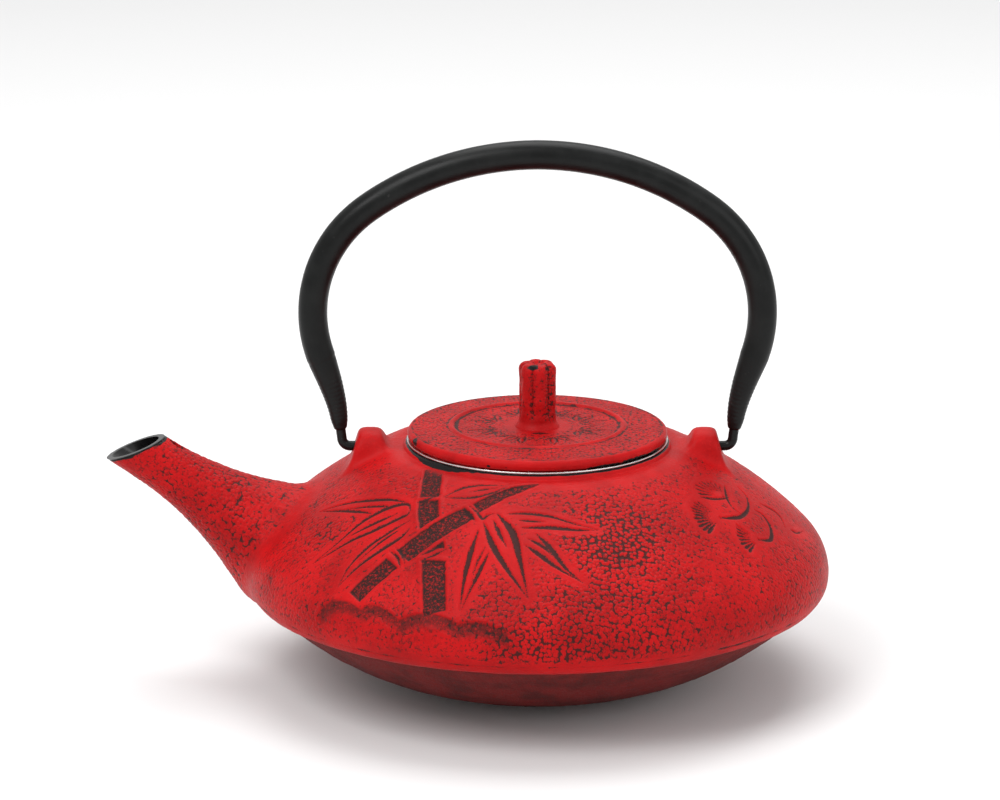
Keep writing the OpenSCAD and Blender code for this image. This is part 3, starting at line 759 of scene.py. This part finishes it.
def casting_piece(step):
    p, quads = build_casting(step)
    r = np.hypot(p[:, 0], p[:, 1])
    s = shoulder_run(r, p[:, 2])
    spout_d, ear_d = spout_field(*p.T), ear_field(*p.T)
    blend = smooth(spout_d, 1.5, 7.0) * smooth(ear_d, 0.8, 3.2) * smooth(r, LAND_R + 0.2, 48.0)
    blend *= smooth(p[:, 2], BAND_Z + 0.1, BAND_Z + 0.8)
    normal = gradient(iron_field, p)
    normal /= np.linalg.norm(normal, axis=1)[:, None]
    height, attrs = shoulder_relief(p, s, blend)
    s_axis, _ = spout_frame(*p.T)
    rind = value_noise(p, 1.6, 61)
    on_spout = 1 - smooth(spout_d, 0.3, 3.0)
    fade = (1 - smooth(s_axis, 12, 30))
    near, second = cells(p, 1.9, 7)
    gap = second - near
    pebble = on_spout * fade * 0.12 * (smooth(gap, 0.02, 0.5) - 0.7)
    height += pebble + on_spout * value_noise(p, 4.5, 62) * 0.06
    attrs["soot"] = np.maximum(attrs["soot"], on_spout * (0.24 + 0.22 * fade + 0.20 * value_noise(p, 6, 63)))
    lead = spout_d - body_field(r, p[:, 2])
    attrs["soot"] *= smooth(np.abs(lead), 0.0, 1.2)
    across = (p[:, 0] - SPOUT_P[0]) * SPOUT_AXIS[2] - (p[:, 2] - SPOUT_P[2]) * SPOUT_AXIS[0]
    u, v = to_sheet(p[:, 0], p[:, 1], s)
    u = np.where(lead < 0, 300 + s_axis, u)
    v = np.where(lead < 0, 13.0 * np.arctan2(p[:, 1], across), v)
    attrs["sheet"] = np.stack([u, v, np.zeros(len(p))], 1) * MM
    cut = (p[:, 0] - CUT_P[0]) * CUT_N[0] + (p[:, 2] - CUT_P[2]) * CUT_N[2] + ENAMEL
    mouth = smooth(cut, -1.0 + 0.5 * rind, -0.3 + 0.5 * rind) * on_spout
    inside = 1 - smooth(channel_field(*p.T), 0.1, 0.7)
    turn = np.degrees(np.arctan2(p[:, 1], p[:, 0]))
    bare = np.exp(-((turn + 139) / 16) ** 2) * 1.2
    # rim: black on the lip's inner edge, partly the black enamel and partly painted shadow of the gap under
    # the lid; bare widens it where the lip's paint is chipped at the left.
    rim = (1 - smooth(r, LAND_R - 1.0 + bare, LAND_R - 0.4 + 0.3 * rind + bare)) * (p[:, 2] > 70)
    black = np.maximum.reduce([mouth, inside * (spout_d < 1.5), rim])
    attrs["black"] = black
    still = smooth(np.minimum(np.abs(s_axis - 100), np.abs(channel_field(*p.T))), 0.2, 1.2)
    still *= smooth(r, MOUTH_R + 1.5, MOUTH_R + 4) * (1 - black)
    p = p + normal * (height * still)[:, None]
    return p, quads, attrs


step = 0.42
iron = red_iron("red_iron_paint", 1.4, "sheet")
p, quads, attrs = casting_piece(step)
make_piece("iron_casting", p, [quads], "pot",
                     replaces=("pot_shoulder", "pot_lip", "spout", "ear_front", "ear_back"),
                     attrs=attrs, materials=[iron])

# ---------------------------------------------------------------- the casting below the parting face
# Underside reds: the paint's own darker red, made darker still as painted shade for the underside that faces
# away from the light.
UNDERSIDE_RED_WITH_SHADE = (0.150, 0.0110, 0.0105)
UNDERSIDE_DEEP_WITH_SHADE = (0.078, 0.0080, 0.0072)


def under_point(a, inward=0.0):
    """A point of the underside's arc at angle a from straight down, moved inward."""
    r = UNDER_R - inward
    return (UNDER_C[0] + r * sin(a), UNDER_C[1] - r * cos(a))


def base_piece(step):
    """Underside, foot ring and inner bowl of the casting, one closed turned shell."""
    edge_a = asin((BAND_R - 0.5 - UNDER_C[0]) / UNDER_R)
    foot_a = asin((FOOT_R - UNDER_C[0]) / UNDER_R)
    out_line = [under_point(a) for a in np.linspace(edge_a, foot_a, 90)]
    root = out_line.pop()
    foot = [(root[0] + 0.6, root[1]), (FOOT_R, root[1] - 0.5), (FOOT_R, 0.5)]
    foot += arc((FOOT_R - 0.5, 0.5), 0.5, 0, -pi / 2, 5) + arc((FOOT_IN_R + 0.5, 0.5), 0.5, -pi / 2, -pi, 5)
    foot += [(FOOT_IN_R, FOOT_RECESS - 0.3), (FOOT_IN_R - 0.3, FOOT_RECESS), (0.4, FOOT_RECESS)]
    inner_a = asin((INNER_R - UNDER_C[0]) / (UNDER_R - WALL))
    inner = [(0.4, UNDER_C[1] - UNDER_R + WALL)]
    inner += [under_point(a, WALL) for a in np.linspace(0, inner_a, 40)]
    lip = [(BAND_R - 0.2, BAND_Z), (BAND_R - 0.5, BAND_Z - 0.3)]
    line = np.vstack([even(lip, 0.3)[:-1], even(out_line[1:], step), even(foot, 0.35), even(inner, 2.0)])
    count = 900
    p = revolve(line, count)
    faces = grid_faces(len(line), count, wrap_cols=True)[:, ::-1]
    top = grid_faces(2, count, wrap_cols=True)
    last = (len(line) - 1) * count
    top = np.where(top < count, top + last, top - count)[:, ::-1]
    ends = [row for row in range(len(line)) if line[row, 0] < 0.45]
    r = np.hypot(p[:, 0], p[:, 1])
    outside = np.repeat(np.arange(len(line)) < len(line) - len(even(inner, 2.0)), count)
    on_arc = outside & (r > FOOT_R + 0.8)
    rough = value_noise(p, 6.5, 71) * 0.10 + value_noise(p, 2.4, 72) * 0.08 + value_noise(p, 1.0, 73) * 0.05
    fade = between(r, FOOT_R + 0.6, FOOT_R + 4, BAND_R - 2.5, BAND_R - 0.8) * on_arc
    fade = np.maximum(fade, 0.6 * outside * (r < FOOT_IN_R - 1))
    normal = np.stack([np.zeros(len(p)), np.zeros(len(p)), -np.ones(len(p))], 1)
    away = np.stack([p[:, 0], p[:, 1]], 1) / np.maximum(r, 1e-6)[:, None]
    lean = np.where(on_arc, np.clip((r - UNDER_C[0]) / UNDER_R, 0, 1), 0)
    normal[:, :2] = away * lean[:, None]
    normal[:, 2] = -np.sqrt(1 - lean ** 2)
    p = p + normal * (rough * fade)[:, None]
    under, bowl = (np.arange(count) + row * count for row in ends)
    faces = faces[~(np.isin(faces, under).any(1) & np.isin(faces, bowl).any(1))]
    p, fans = capped(p, {}, count, ((ends[0], (0, 0, p[under, 2].mean()), True),
                                    (ends[1], (0, 0, p[bowl, 2].mean()), False)))
    return make_piece("iron_base", p, [faces, top] + fans, "pot", replaces=("pot_base",),
                      materials=[underside_paint_and_shade()])


def underside_paint_and_shade():
    """Thin dark red paint over the rough, unpolished underside, made darker still as painted shade under the
    pot.
    """
    p = Paint("underside_paint_and_shade_material")
    cloud = p.noise(11, 5, 0.6)
    fine = p.noise(0.9, 4, 0.65)
    grit = p.noise(0.4, 2, 0.5)
    colour = p.mix(p.step(cloud, 0.38, 0.64), UNDERSIDE_RED_WITH_SHADE, UNDERSIDE_DEEP_WITH_SHADE)
    colour = p.mix(p.step(fine, 0.5, 0.7, 0.0, 0.7), colour, (0.220, 0.0170, 0.0150))
    colour = p.mix(p.step(grit, 0.52, 0.68, 0.0, 0.5), colour, SOOT)
    normal = p.bump(p.add(fine, p.times(grit, 0.6)), 0.25)
    p.set(Base_Color=colour, Roughness=p.step(fine, 0.3, 0.7, 0.55, 0.72), Normal=normal)
    p.set(Specular_IOR_Level=0.12)
    return p.material


# ---------------------------------------------------------------- lid and knob
def lid_top(r):
    """Height of the lid's upper face at each radius, without its relief."""
    flat = np.interp(r, [0, 26.6, 28.8, 40.3], [LID_FLOOR - 0.25, LID_FLOOR, LID_FLOOR + 0.2, LID_TOP])
    ring = between(r, 26.7, 27.4, 28.0, 28.9)
    return flat + 0.62 * ring


def lid_leaves(sheet):
    """Bamboo sprays that lie round the lid's inner field."""
    for turn in (205, 248, 292, 338, 24, 68, 112, 158):
        a = radians(turn)
        node = 13.5 * np.array([cos(a), sin(a)])
        for off, length in ((-64, 9.5), (-22, 11.0), (20, 10.5), (60, 8.5)):
            b = a + radians(off)
            d = np.array([cos(b), sin(b)])
            tip = node + d * length
            if hypot(*tip) > 25.0:
                tip *= 25.0 / hypot(*tip)
            across = np.array([-d[1], d[0]])
            for side in (-1, 1):
                belly = node + 0.45 * length * d + side * 1.05 * across
                sheet.groove(curved([node + 1.2 * d, belly, tip]), 0.85, deep=0.3, fat=0.4)


def lid_piece():
    """The cast lid: relief on top, a rounded rim, a flat underside and the skirt that sits in the infuser."""
    nose = (LID_TOP - FLANGE_Z) / 2
    centre = (LID_R - nose, FLANGE_Z + nose)
    pitch = 0.34
    radii = np.arange(pitch, LID_R - nose, pitch)
    top = np.stack([radii, lid_top(radii)], 1)
    rim = arc(centre, nose, pi / 2, -pi / 2, 16)
    skirt = [(SKIRT_R, FLANGE_Z), (SKIRT_R, SKIRT_LOW + 0.4), (SKIRT_R - 0.4, SKIRT_LOW),
             (SKIRT_IN_R + 0.4, SKIRT_LOW), (SKIRT_IN_R, SKIRT_LOW + 0.4), (SKIRT_IN_R, LID_UNDER - 0.4),
             (SKIRT_IN_R - 0.5, LID_UNDER), (4.0, LID_UNDER), (0.3, LID_UNDER)]
    line = np.vstack([top, rim, skirt])
    count = 720
    p = revolve(line, count)
    r = np.hypot(p[:, 0], p[:, 1])
    upper = np.repeat(np.arange(len(line)) < len(top) + 9, count)
    sheet = Relief(p[:, 0], p[:, 1])
    lid_leaves(sheet)
    inner = between(r, 9.5, 12.0, 25.0, 26.2) * upper
    band = between(r, 28.8, 30.0, 40.0, 41.0) * upper
    near, second = cells(p + 0.3 * np.stack([value_noise(p, 2.2, q) for q in (81, 82, 83)], 1), 1.15, 85)
    gap = second - near
    calm = inner * smooth(sheet.near, 0.8, 2.4) * 0.75 + band
    height = 0.10 * calm * (smooth(gap, 0.02, 0.45) - 0.75)
    height += (value_noise(p, 4.0, 86) * 0.035 + value_noise(p, 1.4, 87) * 0.02) * upper
    height -= sheet.deep * inner * 0.6
    wave = 0.25 * value_noise(p, 3.0, 88)
    broken = value_noise(p, 2.4, 89)
    carve = np.full(len(p), -9.0)
    for at, wide, amount in ((26.3, 0.36, 0.16), (29.15, 0.30, 0.0), (40.5, 0.22, 0.0)):
        line_cut = wide - np.abs(r - at - wave) + 0.35 * broken + amount - 0.05
        carve = np.maximum(carve, np.where(upper, line_cut, -9))
        height -= 0.10 * smooth(line_cut, -0.2, 0.15) * upper
    carve = np.maximum(carve, np.where(inner > 0.3, sheet.carve, -9.0))
    angle = np.degrees(np.arctan2(p[:, 1], p[:, 0]))
    # black_marks: chipped paint and a scratch; the three wide marks at -58, -42 and -28 degrees low on the
    # rim are painted shade under the lid's edge.
    black_marks = np.zeros(len(p))
    for a, z, wide, tall in ((-160.0, 82.3, 1.9, 1.2), (-112.0, 81.2, 0.62, 0.42), (-104.0, 81.3, 0.42, 0.18),
                             (-58.0, 80.2, 7.0, 0.8), (-42.0, 80.3, 8.0, 1.0), (-28.0, 80.3, 6.0, 0.8)):
        far = np.hypot((angle - a) * radians(1) * LID_R / wide, (p[:, 2] - z) / tall)
        black_marks = np.maximum(black_marks, np.where(r > 38.5, 1.05 - far * 0.55, 0))
    scratch = np.abs(p[:, 0] - 0.6) / 3.6 + np.abs(p[:, 1] + 9.6) / 1.1
    black_marks = np.maximum(black_marks, np.where(upper, 1.0 - 0.5 * scratch, 0))
    black_marks = np.clip(black_marks + 0.12 * value_noise(p, 1.2, 90) * (black_marks > 0.1), 0, 1)
    attrs = {"carve": np.clip(carve, -1, 1.5), "black": black_marks,
             "soot": np.clip(0.56 + 0.16 * value_noise(p, 6, 91), 0, 1) * np.clip(band + 0.95 * inner, 0, 1),
             "grain": np.zeros(len(p))}
    p[:, 2] += height * upper * (r < LID_R - nose + 0.2)
    push = height * upper * (r >= LID_R - nose + 0.2)
    p[:, :2] *= (1 + push / np.maximum(r, 1))[:, None]
    faces = grid_faces(len(line), count, wrap_cols=True)
    p, fans = capped(p, attrs, count, ((0, (0, 0, lid_top(np.array([0.0]))[0]), False),
                                       (len(line) - 1, (0, 0, LID_UNDER), True)))
    return make_piece("iron_lid", p, [faces[:, ::-1]] + fans, "lid", replaces=("lid",),
                      attrs=attrs, materials=[lid_iron])


def knob_piece():
    """The fluted knob: a flared foot, a stem of upright ribs and a crown of rounded lobes."""
    count = 420
    a = np.arange(count) * 2 * pi / count
    heights = np.concatenate([np.linspace(LID_FLOOR - 0.35, LID_FLOOR + 4.0, 26)[:-1],
                              np.linspace(LID_FLOOR + 4.0, KNOB_TOP - KNOB_CROWN, 70)[:-1],
                              KNOB_TOP - KNOB_CROWN + KNOB_CROWN * np.sin(np.linspace(0, pi / 2, 16))])
    phase = KNOB_RIBS * (a - radians(12))
    lobe = np.abs(np.cos(phase / 2 + pi / 2)) ** 0.8
    rows = []
    for z in heights:
        up = (z - LID_FLOOR) / (KNOB_TOP - LID_FLOOR)
        foot = (1 - smooth(np.array(z), LID_FLOOR - 0.6, LID_FLOOR + 3.4)) ** 2.4
        stem = KNOB_R - 0.25 + 0.25 * up
        depth = 1.15 * smooth(np.array(up), 0.06, 0.3) * (0.8 + 0.35 * up)
        radius = stem + 1.35 * foot - depth * (1 - lobe) * (1 - foot)
        over = max(0.0, (z - KNOB_TOP + KNOB_CROWN) / KNOB_CROWN)
        radius = radius - 2.0 * (1 - sqrt(max(0.0, 1 - over ** 2)))
        rows.append(np.stack([radius * np.cos(a), radius * np.sin(a), np.full(count, z)], 1))
    edge = rows[-1]
    for share in np.linspace(0.88, 0.06, 12):
        ring = edge * (share, share, 1)
        dome = 0.75 * sin(pi * min(1.0, (share - 0.25) / 0.7)) if share > 0.25 else 0.0
        ring[:, 2] = KNOB_TOP - 1.5 * (1 - share) ** 1.2 + dome * (0.25 + 0.75 * lobe)
        ring[:, 2] -= 0.4 * (1 - lobe) * share
        rows.append(ring)
    p = np.vstack(rows)
    r = np.hypot(p[:, 0], p[:, 1])
    lobes = np.tile(lobe, len(rows))
    stem = smooth(p[:, 2], LID_FLOOR + 1.0, LID_FLOOR + 4)
    height = value_noise(p, 3.2, 101) * 0.16 + value_noise(p, 1.2, 102) * 0.07 * stem
    p[:, :2] *= (1 + height * stem / np.maximum(r, 1.5))[:, None]
    angle = np.degrees(np.arctan2(p[:, 1], p[:, 0]))
    right = between(angle, -95, -70, -35, -10)
    black_marks = np.zeros(len(p))
    for turn, z, wide, tall in ((-108, KNOB_TOP - 0.6, 1.5, 0.9), (-62, KNOB_TOP - 1.2, 0.9, 0.6)):
        spot = np.array([KNOB_R * 0.8 * cos(radians(turn)), KNOB_R * 0.8 * sin(radians(turn)), z])
        far = np.sqrt((((p - spot) / (wide, wide, tall)) ** 2).sum(1))
        black_marks = np.maximum(black_marks, 1.0 - 0.5 * far + 0.15 * value_noise(p, 0.9, 104))
    attrs = {"soot": np.clip((1 - lobes) * 0.9 + right * 0.35, 0.22, 1) * stem * 0.72,
             "carve": np.full(len(p), -1.0), "grain": np.clip((1 - lobes) - 0.55, 0, 1) * stem * 0.8,
             "black": np.clip(black_marks, 0, 1)}
    n = len(rows)
    faces = grid_faces(n, count, wrap_cols=True)
    p, fans = capped(p, attrs, count, ((n - 1, (0, 0, p[-count:, 2].mean()), False),
                                       (0, (0, 0, p[:count, 2].mean()), True)))
    head = revolve([(0.2, LID_UNDER + 0.1), (4.2, LID_UNDER + 0.1), (4.6, LID_UNDER - 0.4),
                    (4.2, LID_UNDER - 1.0), (3.2, LID_UNDER - 1.2), (0.2, LID_UNDER - 1.2)], 64)
    extra = grid_faces(6, 64, wrap_rows=True, wrap_cols=True, start=len(p))[:, ::-1]
    p = np.vstack([p, head])
    for key in attrs:
        attrs[key] = np.append(attrs[key], np.full(len(head), -1.0 if key == "carve" else 0.0))
    return make_piece("iron_knob", p, [faces, extra] + fans, "lid", replaces=("lid_knob",),
                      attrs=attrs, materials=[knob_iron])


# ---------------------------------------------------------------- handle
CROWN_C, CROWN_R, CROWN_A = (0.0, PIVOT_Z + 2.2), 94.0, radians(35.5)
BEND_R, LEG_TOP_A = 42.5, radians(109.5)
BEND_C = ((CROWN_R - BEND_R) * sin(CROWN_A), CROWN_C[1] + (CROWN_R - BEND_R) * cos(CROWN_A))
TUBE_R = 4.7


def handle_line(step):
    """Points of the handle's right half from the crown's top to the end of the leg, x and z."""
    crown = arc(CROWN_C, CROWN_R, pi / 2, pi / 2 - CROWN_A, 60)
    bend = arc(BEND_C, BEND_R, pi / 2 - CROWN_A, pi / 2 - LEG_TOP_A, 60)[1:]
    top = np.array(bend[-1])
    mid = top + 9.5 * np.array([cos(LEG_TOP_A), -sin(LEG_TOP_A)])
    low = mid - (2.1, 7.4)
    end = low - (1.0, 8.0)
    return even(crown + bend + [tuple(mid), tuple(low), tuple(end)], step)


def softened(line, times):
    line = line.copy()
    for _ in range(times):
        line[1:-1] = 0.25 * line[:-2] + 0.5 * line[1:-1] + 0.25 * line[2:]
    return line


def handle_piece():
    """The bent tube: full round over the crown, drawn down to a taper at each leg, with swage marks."""
    step = 0.45
    half = softened(handle_line(step), 60)
    line = np.vstack([half[::-1] * (-1, 1), half[1:]])
    n = len(line)
    way = np.gradient(line, axis=0)
    way /= np.linalg.norm(way, axis=1)[:, None]
    out = np.stack([-way[:, 1], way[:, 0]], 1)
    z = line[:, 1]
    leg = np.abs(line[:, 0]) > 55
    radius = np.full(n, TUBE_R)
    low_r = np.interp(z, [82.8, 86.0, 90.8, 98.2, 107.2], [2.05, 2.75, 3.2, 3.9, TUBE_R])
    radius = np.where(leg & (z < 107.2), low_r, radius)
    ribbed = leg * between(z, 84.2, 85.5, 98.0, 101.0)
    radius = radius + 0.055 * ribbed * np.sin(z * 2 * pi / 1.35)
    band = np.exp(-((z - 106.0) / 0.35) ** 2) * (line[:, 0] < -55)
    radius = radius - 0.10 * band
    end = np.minimum(np.arange(n), n - 1 - np.arange(n)) * step
    radius = radius - 0.45 * (1 - np.sqrt(np.clip(1 - (1 - np.clip(end / 0.8, 0, 1)) ** 2, 0, 1)))
    count = 72
    a = np.arange(count) * 2 * pi / count
    p = np.zeros((n, count, 3))
    p[..., 0] = line[:, 0, None] + out[:, 0, None] * radius[:, None] * np.cos(a)
    p[..., 2] = line[:, 1, None] + out[:, 1, None] * radius[:, None] * np.cos(a)
    p[..., 1] = radius[:, None] * np.sin(a)
    p = p.reshape(-1, 3)
    ribs = np.repeat(ribbed * (0.5 - 0.5 * np.sin(z * 2 * pi / 1.35)), count)
    faces = grid_faces(n, count, wrap_cols=True)
    attrs = {"rib": ribs}
    p, fans = capped(p, attrs, count, ((0, (line[0, 0], 0, line[0, 1]), True),
                                       (n - 1, (line[-1, 0], 0, line[-1, 1]), False)))
    return make_piece("handle_bar", p, [faces] + fans, "handle",
                      replaces=("handle_tube",), attrs=attrs, materials=[handle_black("handle_black", 0.34)])


def handle_black(name, rough):
    """Black powder coat: a fine orange-peel texture with a few rubbed spots."""
    p = Paint(name)
    cloud = p.noise(9, 3, 0.55)
    fine = p.noise(0.55, 3, 0.55)
    colour = p.mix(p.step(cloud, 0.35, 0.7), (0.0040, 0.0044, 0.0043), (0.0078, 0.0084, 0.0082))
    wear = p.step(p.add(p.noise(3.0, 5, 0.7), p.times(p.attr("rib"), 0.10)), 0.66, 0.74, 0.0, 0.35)
    colour = p.mix(wear, colour, (0.060, 0.058, 0.056))
    value = p.add(p.step(cloud, 0.3, 0.7, rough - 0.04, rough + 0.06), p.times(wear, 0.3))
    p.set(Base_Color=colour, Roughness=value, Normal=p.bump(fine, 0.035))
    p.set(Specular_IOR_Level=0.18)
    return p.material


# ---------------------------------------------------------------- infuser
def steel(name, around=True):
    """Brushed stainless steel, the brushing running round the axis."""
    p = Paint(name)
    lines = p.noise(6, 4, 0.6, at=p.scaled(1, 1, 45 if around else 1))
    spots = p.noise(5, 4, 0.6)
    colour = p.mix(p.step(lines, 0.35, 0.65), (0.62, 0.61, 0.60), (0.74, 0.735, 0.73))
    p.set(Base_Color=colour, Metallic=1.0, Normal=p.bump(lines, 0.02))
    p.set(Roughness=p.step(p.add(p.times(lines, 0.6), p.times(spots, 0.4)),
                           0.35, 0.65, 0.16, 0.30))
    return p.material


COLLAR_R, SHEET = 36.4, 0.6
MESH_R, INFUSER_Z, FLANGE_R = 35.8, 34.0, 42.3


def turned_piece(name, line, count, body, nodes, material):
    """A closed ring turned from a closed outline."""
    p = revolve(line, count)
    faces = grid_faces(len(line), count, wrap_rows=True, wrap_cols=True)
    return make_piece(name, p, [faces], body, replaces=nodes, materials=[material])


def rounded(points, r, n=5):
    """A closed outline with each corner rounded by about r."""
    points = [np.array(q, float) for q in points]
    out = []
    for i, q in enumerate(points):
        before, after = points[i - 1], points[(i + 1) % len(points)]
        a = q + (before - q) * min(0.45, r / np.linalg.norm(before - q))
        b = q + (after - q) * min(0.45, r / np.linalg.norm(after - q))
        for t in np.linspace(0, 1, n):
            out.append((1 - t) ** 2 * a + 2 * t * (1 - t) * q + t * t * b)
    return np.array(out)


def infuser_rim_piece(material):
    top = FLANGE_Z
    outline = [(MESH_R, top), (MESH_R, top - 8.0), (COLLAR_R, top - 8.0), (COLLAR_R, top - SHEET),
               (FLANGE_R, top - SHEET), (FLANGE_R, top)]
    return turned_piece("infuser_collar", rounded(outline, 0.24), 360, "infuser",
                        ("infuser_rim",), material)


def infuser_band_piece(material):
    z = INFUSER_Z
    outline = [(MESH_R - 3.0, z), (MESH_R - 3.0, z + SHEET), (MESH_R, z + SHEET), (MESH_R, z + 5.0),
               (COLLAR_R, z + 5.0), (COLLAR_R, z)]
    return turned_piece("infuser_foot_band", rounded(outline, 0.24), 360, "infuser",
                        ("infuser_bottom_band",), material)


def wires(paths, radius, sides, closed):
    """Round wires along paths of equal length, an array of paths x points x 3."""
    count, n = paths.shape[:2]
    if closed:
        way = np.roll(paths, -1, 1) - np.roll(paths, 1, 1)
    else:
        way = np.gradient(paths, axis=1)
    way /= np.linalg.norm(way, axis=2)[..., None]
    other = np.where(np.abs(way[..., 2:3]) > 0.7, [1.0, 0.0, 0.0], [0.0, 0.0, 1.0])
    u = np.cross(way, other)
    u /= np.linalg.norm(u, axis=2)[..., None]
    v = np.cross(way, u)
    a = np.arange(sides) * 2 * pi / sides
    ring = u[..., None, :] * np.cos(a)[:, None] + v[..., None, :] * np.sin(a)[:, None]
    p = paths[..., None, :] + radius * ring
    one = grid_faces(n, sides, wrap_rows=closed, wrap_cols=True)
    faces = (one[None] + (np.arange(count) * n * sides)[:, None, None]).reshape(-1, 4)
    return p.reshape(-1, 3), faces


def round_paths(radius, angle, z):
    """Paths round the axis, an array of paths x points x 3."""
    return np.stack([radius * np.cos(angle), radius * np.sin(angle), np.broadcast_to(z, radius.shape)], -1)


def woven_wall(material):
    """Wire cloth for the infuser's wall: wavy rings crossed by wavy uprights, pressed together."""
    pitch = 1.2
    r0, wire = MESH_R - 0.22, 0.15
    ups = int(2 * pi * r0 / pitch) // 2 * 2
    low, high = INFUSER_Z + SHEET + 0.45, FLANGE_Z - 5.0
    rings = int((high - low) / pitch)
    levels = low + (np.arange(rings) + 0.5) * (high - low) / rings
    a = np.arange(2 * ups) * pi / ups
    swing = 0.13
    sign = np.where(np.arange(rings) % 2 == 0, 1, -1)[:, None]
    radius = r0 + swing * sign * np.cos(ups * a)
    p1, f1 = wires(round_paths(radius, a, levels[:, None]), wire, 5, True)
    z = np.concatenate([[low], levels, [high]])
    angle = (np.arange(ups) * 2 * pi / ups)[:, None]
    flip = np.where(np.arange(ups) % 2 == 0, -1, 1)[:, None] * np.where(np.arange(len(z)) % 2 == 1, 1, -1)
    p2, f2 = wires(round_paths(r0 + swing * flip, angle, z), wire, 5, False)
    return make_piece("infuser_wire_wall", np.vstack([p1, p2]), [f1, f2 + len(p1)], "infuser",
                      replaces=("infuser_mesh_wall",), materials=[material])


def woven_floor(material):
    """Plain woven wire cloth cut round for the infuser's floor."""
    pitch = 1.2
    z0, wire, reach = INFUSER_Z + SHEET + 0.36, 0.15, MESH_R - 0.5
    count = int(reach / pitch)
    at = np.arange(-count, count + 1) * pitch
    verts, faces, total = [], [], 0
    for turn in (0, 1):
        for i, offset in enumerate(at):
            half = sqrt(max(reach ** 2 - offset ** 2, 0))
            n = int(half / pitch)
            if n < 2:
                continue
            k = np.arange(-n, n + 1)
            sign = np.where((k + i + turn) % 2 == 0, 1, -1)
            line = np.stack([k * pitch, np.full(len(k), offset), z0 + 0.10 * sign], 1)
            if turn:
                line = line[:, [1, 0, 2]]
            p, f = wires(line[None], wire, 5, False)
            verts.append(p)
            faces.append(f + total)
            total += len(p)
    return make_piece("infuser_wire_floor", np.vstack(verts), faces, "infuser",
                      replaces=("infuser_mesh_floor",), materials=[material])


def enamel_black(name):
    """Glossy black enamel with faint orange peel and tiny dimples."""
    p = Paint(name)
    peel = p.noise(4, 3, 0.5)
    dimple = p.noise(0.7, 2, 0.5)
    colour = p.mix(p.step(peel, 0.35, 0.65), (0.0060, 0.0060, 0.0064), (0.0115, 0.0112, 0.0110))
    p.set(Base_Color=colour, Roughness=p.step(peel, 0.3, 0.7, 0.13, 0.24))
    p.set(Normal=p.bump(p.add(peel, p.times(dimple, 0.25)), 0.05))
    return p.material


def paint_node(name, material):
    """Gives a carried-over CAD node its finished material."""
    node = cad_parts[name]
    node.data.materials.clear()
    node.data.materials.append(material)


lid_iron = red_iron("red_iron_lid", 1.15, "top")
knob_iron = red_iron("red_iron_knob", 0.95)
base_piece(0.6)
lid_piece()
knob_piece()
handle_piece()
brushed = steel("brushed_steel")
wire_steel = steel("wire_steel", around=False)
infuser_rim_piece(brushed)
infuser_band_piece(brushed)
woven_wall(wire_steel)
woven_floor(wire_steel)
enamel = enamel_black("enamel_black")
paint_node("pot_enamel", enamel)
paint_node("spout_enamel", enamel)
hook_black = handle_black("hook_black", 0.22)
paint_node("handle_hook_front", hook_black)
paint_node("handle_hook_back", hook_black)


# ---------------------------------------------------------------- floor, light and camera
def plain(name, colour, rough):
    p = Paint(name)
    p.set(Base_Color=colour, Roughness=rough)
    return p.material


def build_stage():
    mesh = bpy.data.meshes.new("floor")
    w = 14.0
    mesh.from_pydata([(-w, -w, 0), (w, -w, 0), (w, w, 0), (-w, w, 0)], [], [(0, 1, 2, 3)])
    floor = bpy.data.objects.new("floor", mesh)
    bpy.context.scene.collection.objects.link(floor)
    mesh.materials.append(plain("floor_white", (0.78, 0.78, 0.78), 0.9))
    world = bpy.data.worlds.new("studio")
    bpy.context.scene.world = world
    world.use_nodes = True
    world.node_tree.nodes["Background"].inputs[0].default_value = (1, 1, 1, 1)
    world.node_tree.nodes["Background"].inputs[1].default_value = 0.70
    for name, at, size, power, look in (
            ("key", (-0.75, -0.85, 1.35), 0.9, 14.0, (0, 0, 0.06)),
            ("fill", (1.1, -0.9, 0.8), 1.0, 4.5, (0, 0, 0.06)),
            ("top", (0.1, 0.5, 1.5), 1.2, 15.0, (0, 0, 0.08))):
        light = bpy.data.lights.new(name, "AREA")
        light.shape, light.size, light.energy = "SQUARE", size, power
        lamp = bpy.data.objects.new(name, light)
        bpy.context.scene.collection.objects.link(lamp)
        lamp.location = at
        lamp.rotation_euler = (Vector(look) - Vector(at)).to_track_quat("-Z", "Y").to_euler()


TARGET, VIEW_TILT, VIEW_FAR, LENS = (-0.0121, 0.0, 0.0925), radians(14.9), 1.5, 167.0


def build_camera():
    camera = bpy.data.cameras.new("camera")
    camera.sensor_width, camera.lens = 36.0, LENS
    camera.clip_start, camera.clip_end = 0.1, 60.0
    eye = bpy.data.objects.new("camera", camera)
    bpy.context.scene.collection.objects.link(eye)
    eye.location = Vector(TARGET) + VIEW_FAR * Vector((0, -cos(VIEW_TILT), sin(VIEW_TILT)))
    eye.rotation_euler = (pi / 2 - VIEW_TILT, 0, 0)
    bpy.context.scene.camera = eye


build_stage()
build_camera()
bpy.context.scene.view_settings.view_transform = "Standard"
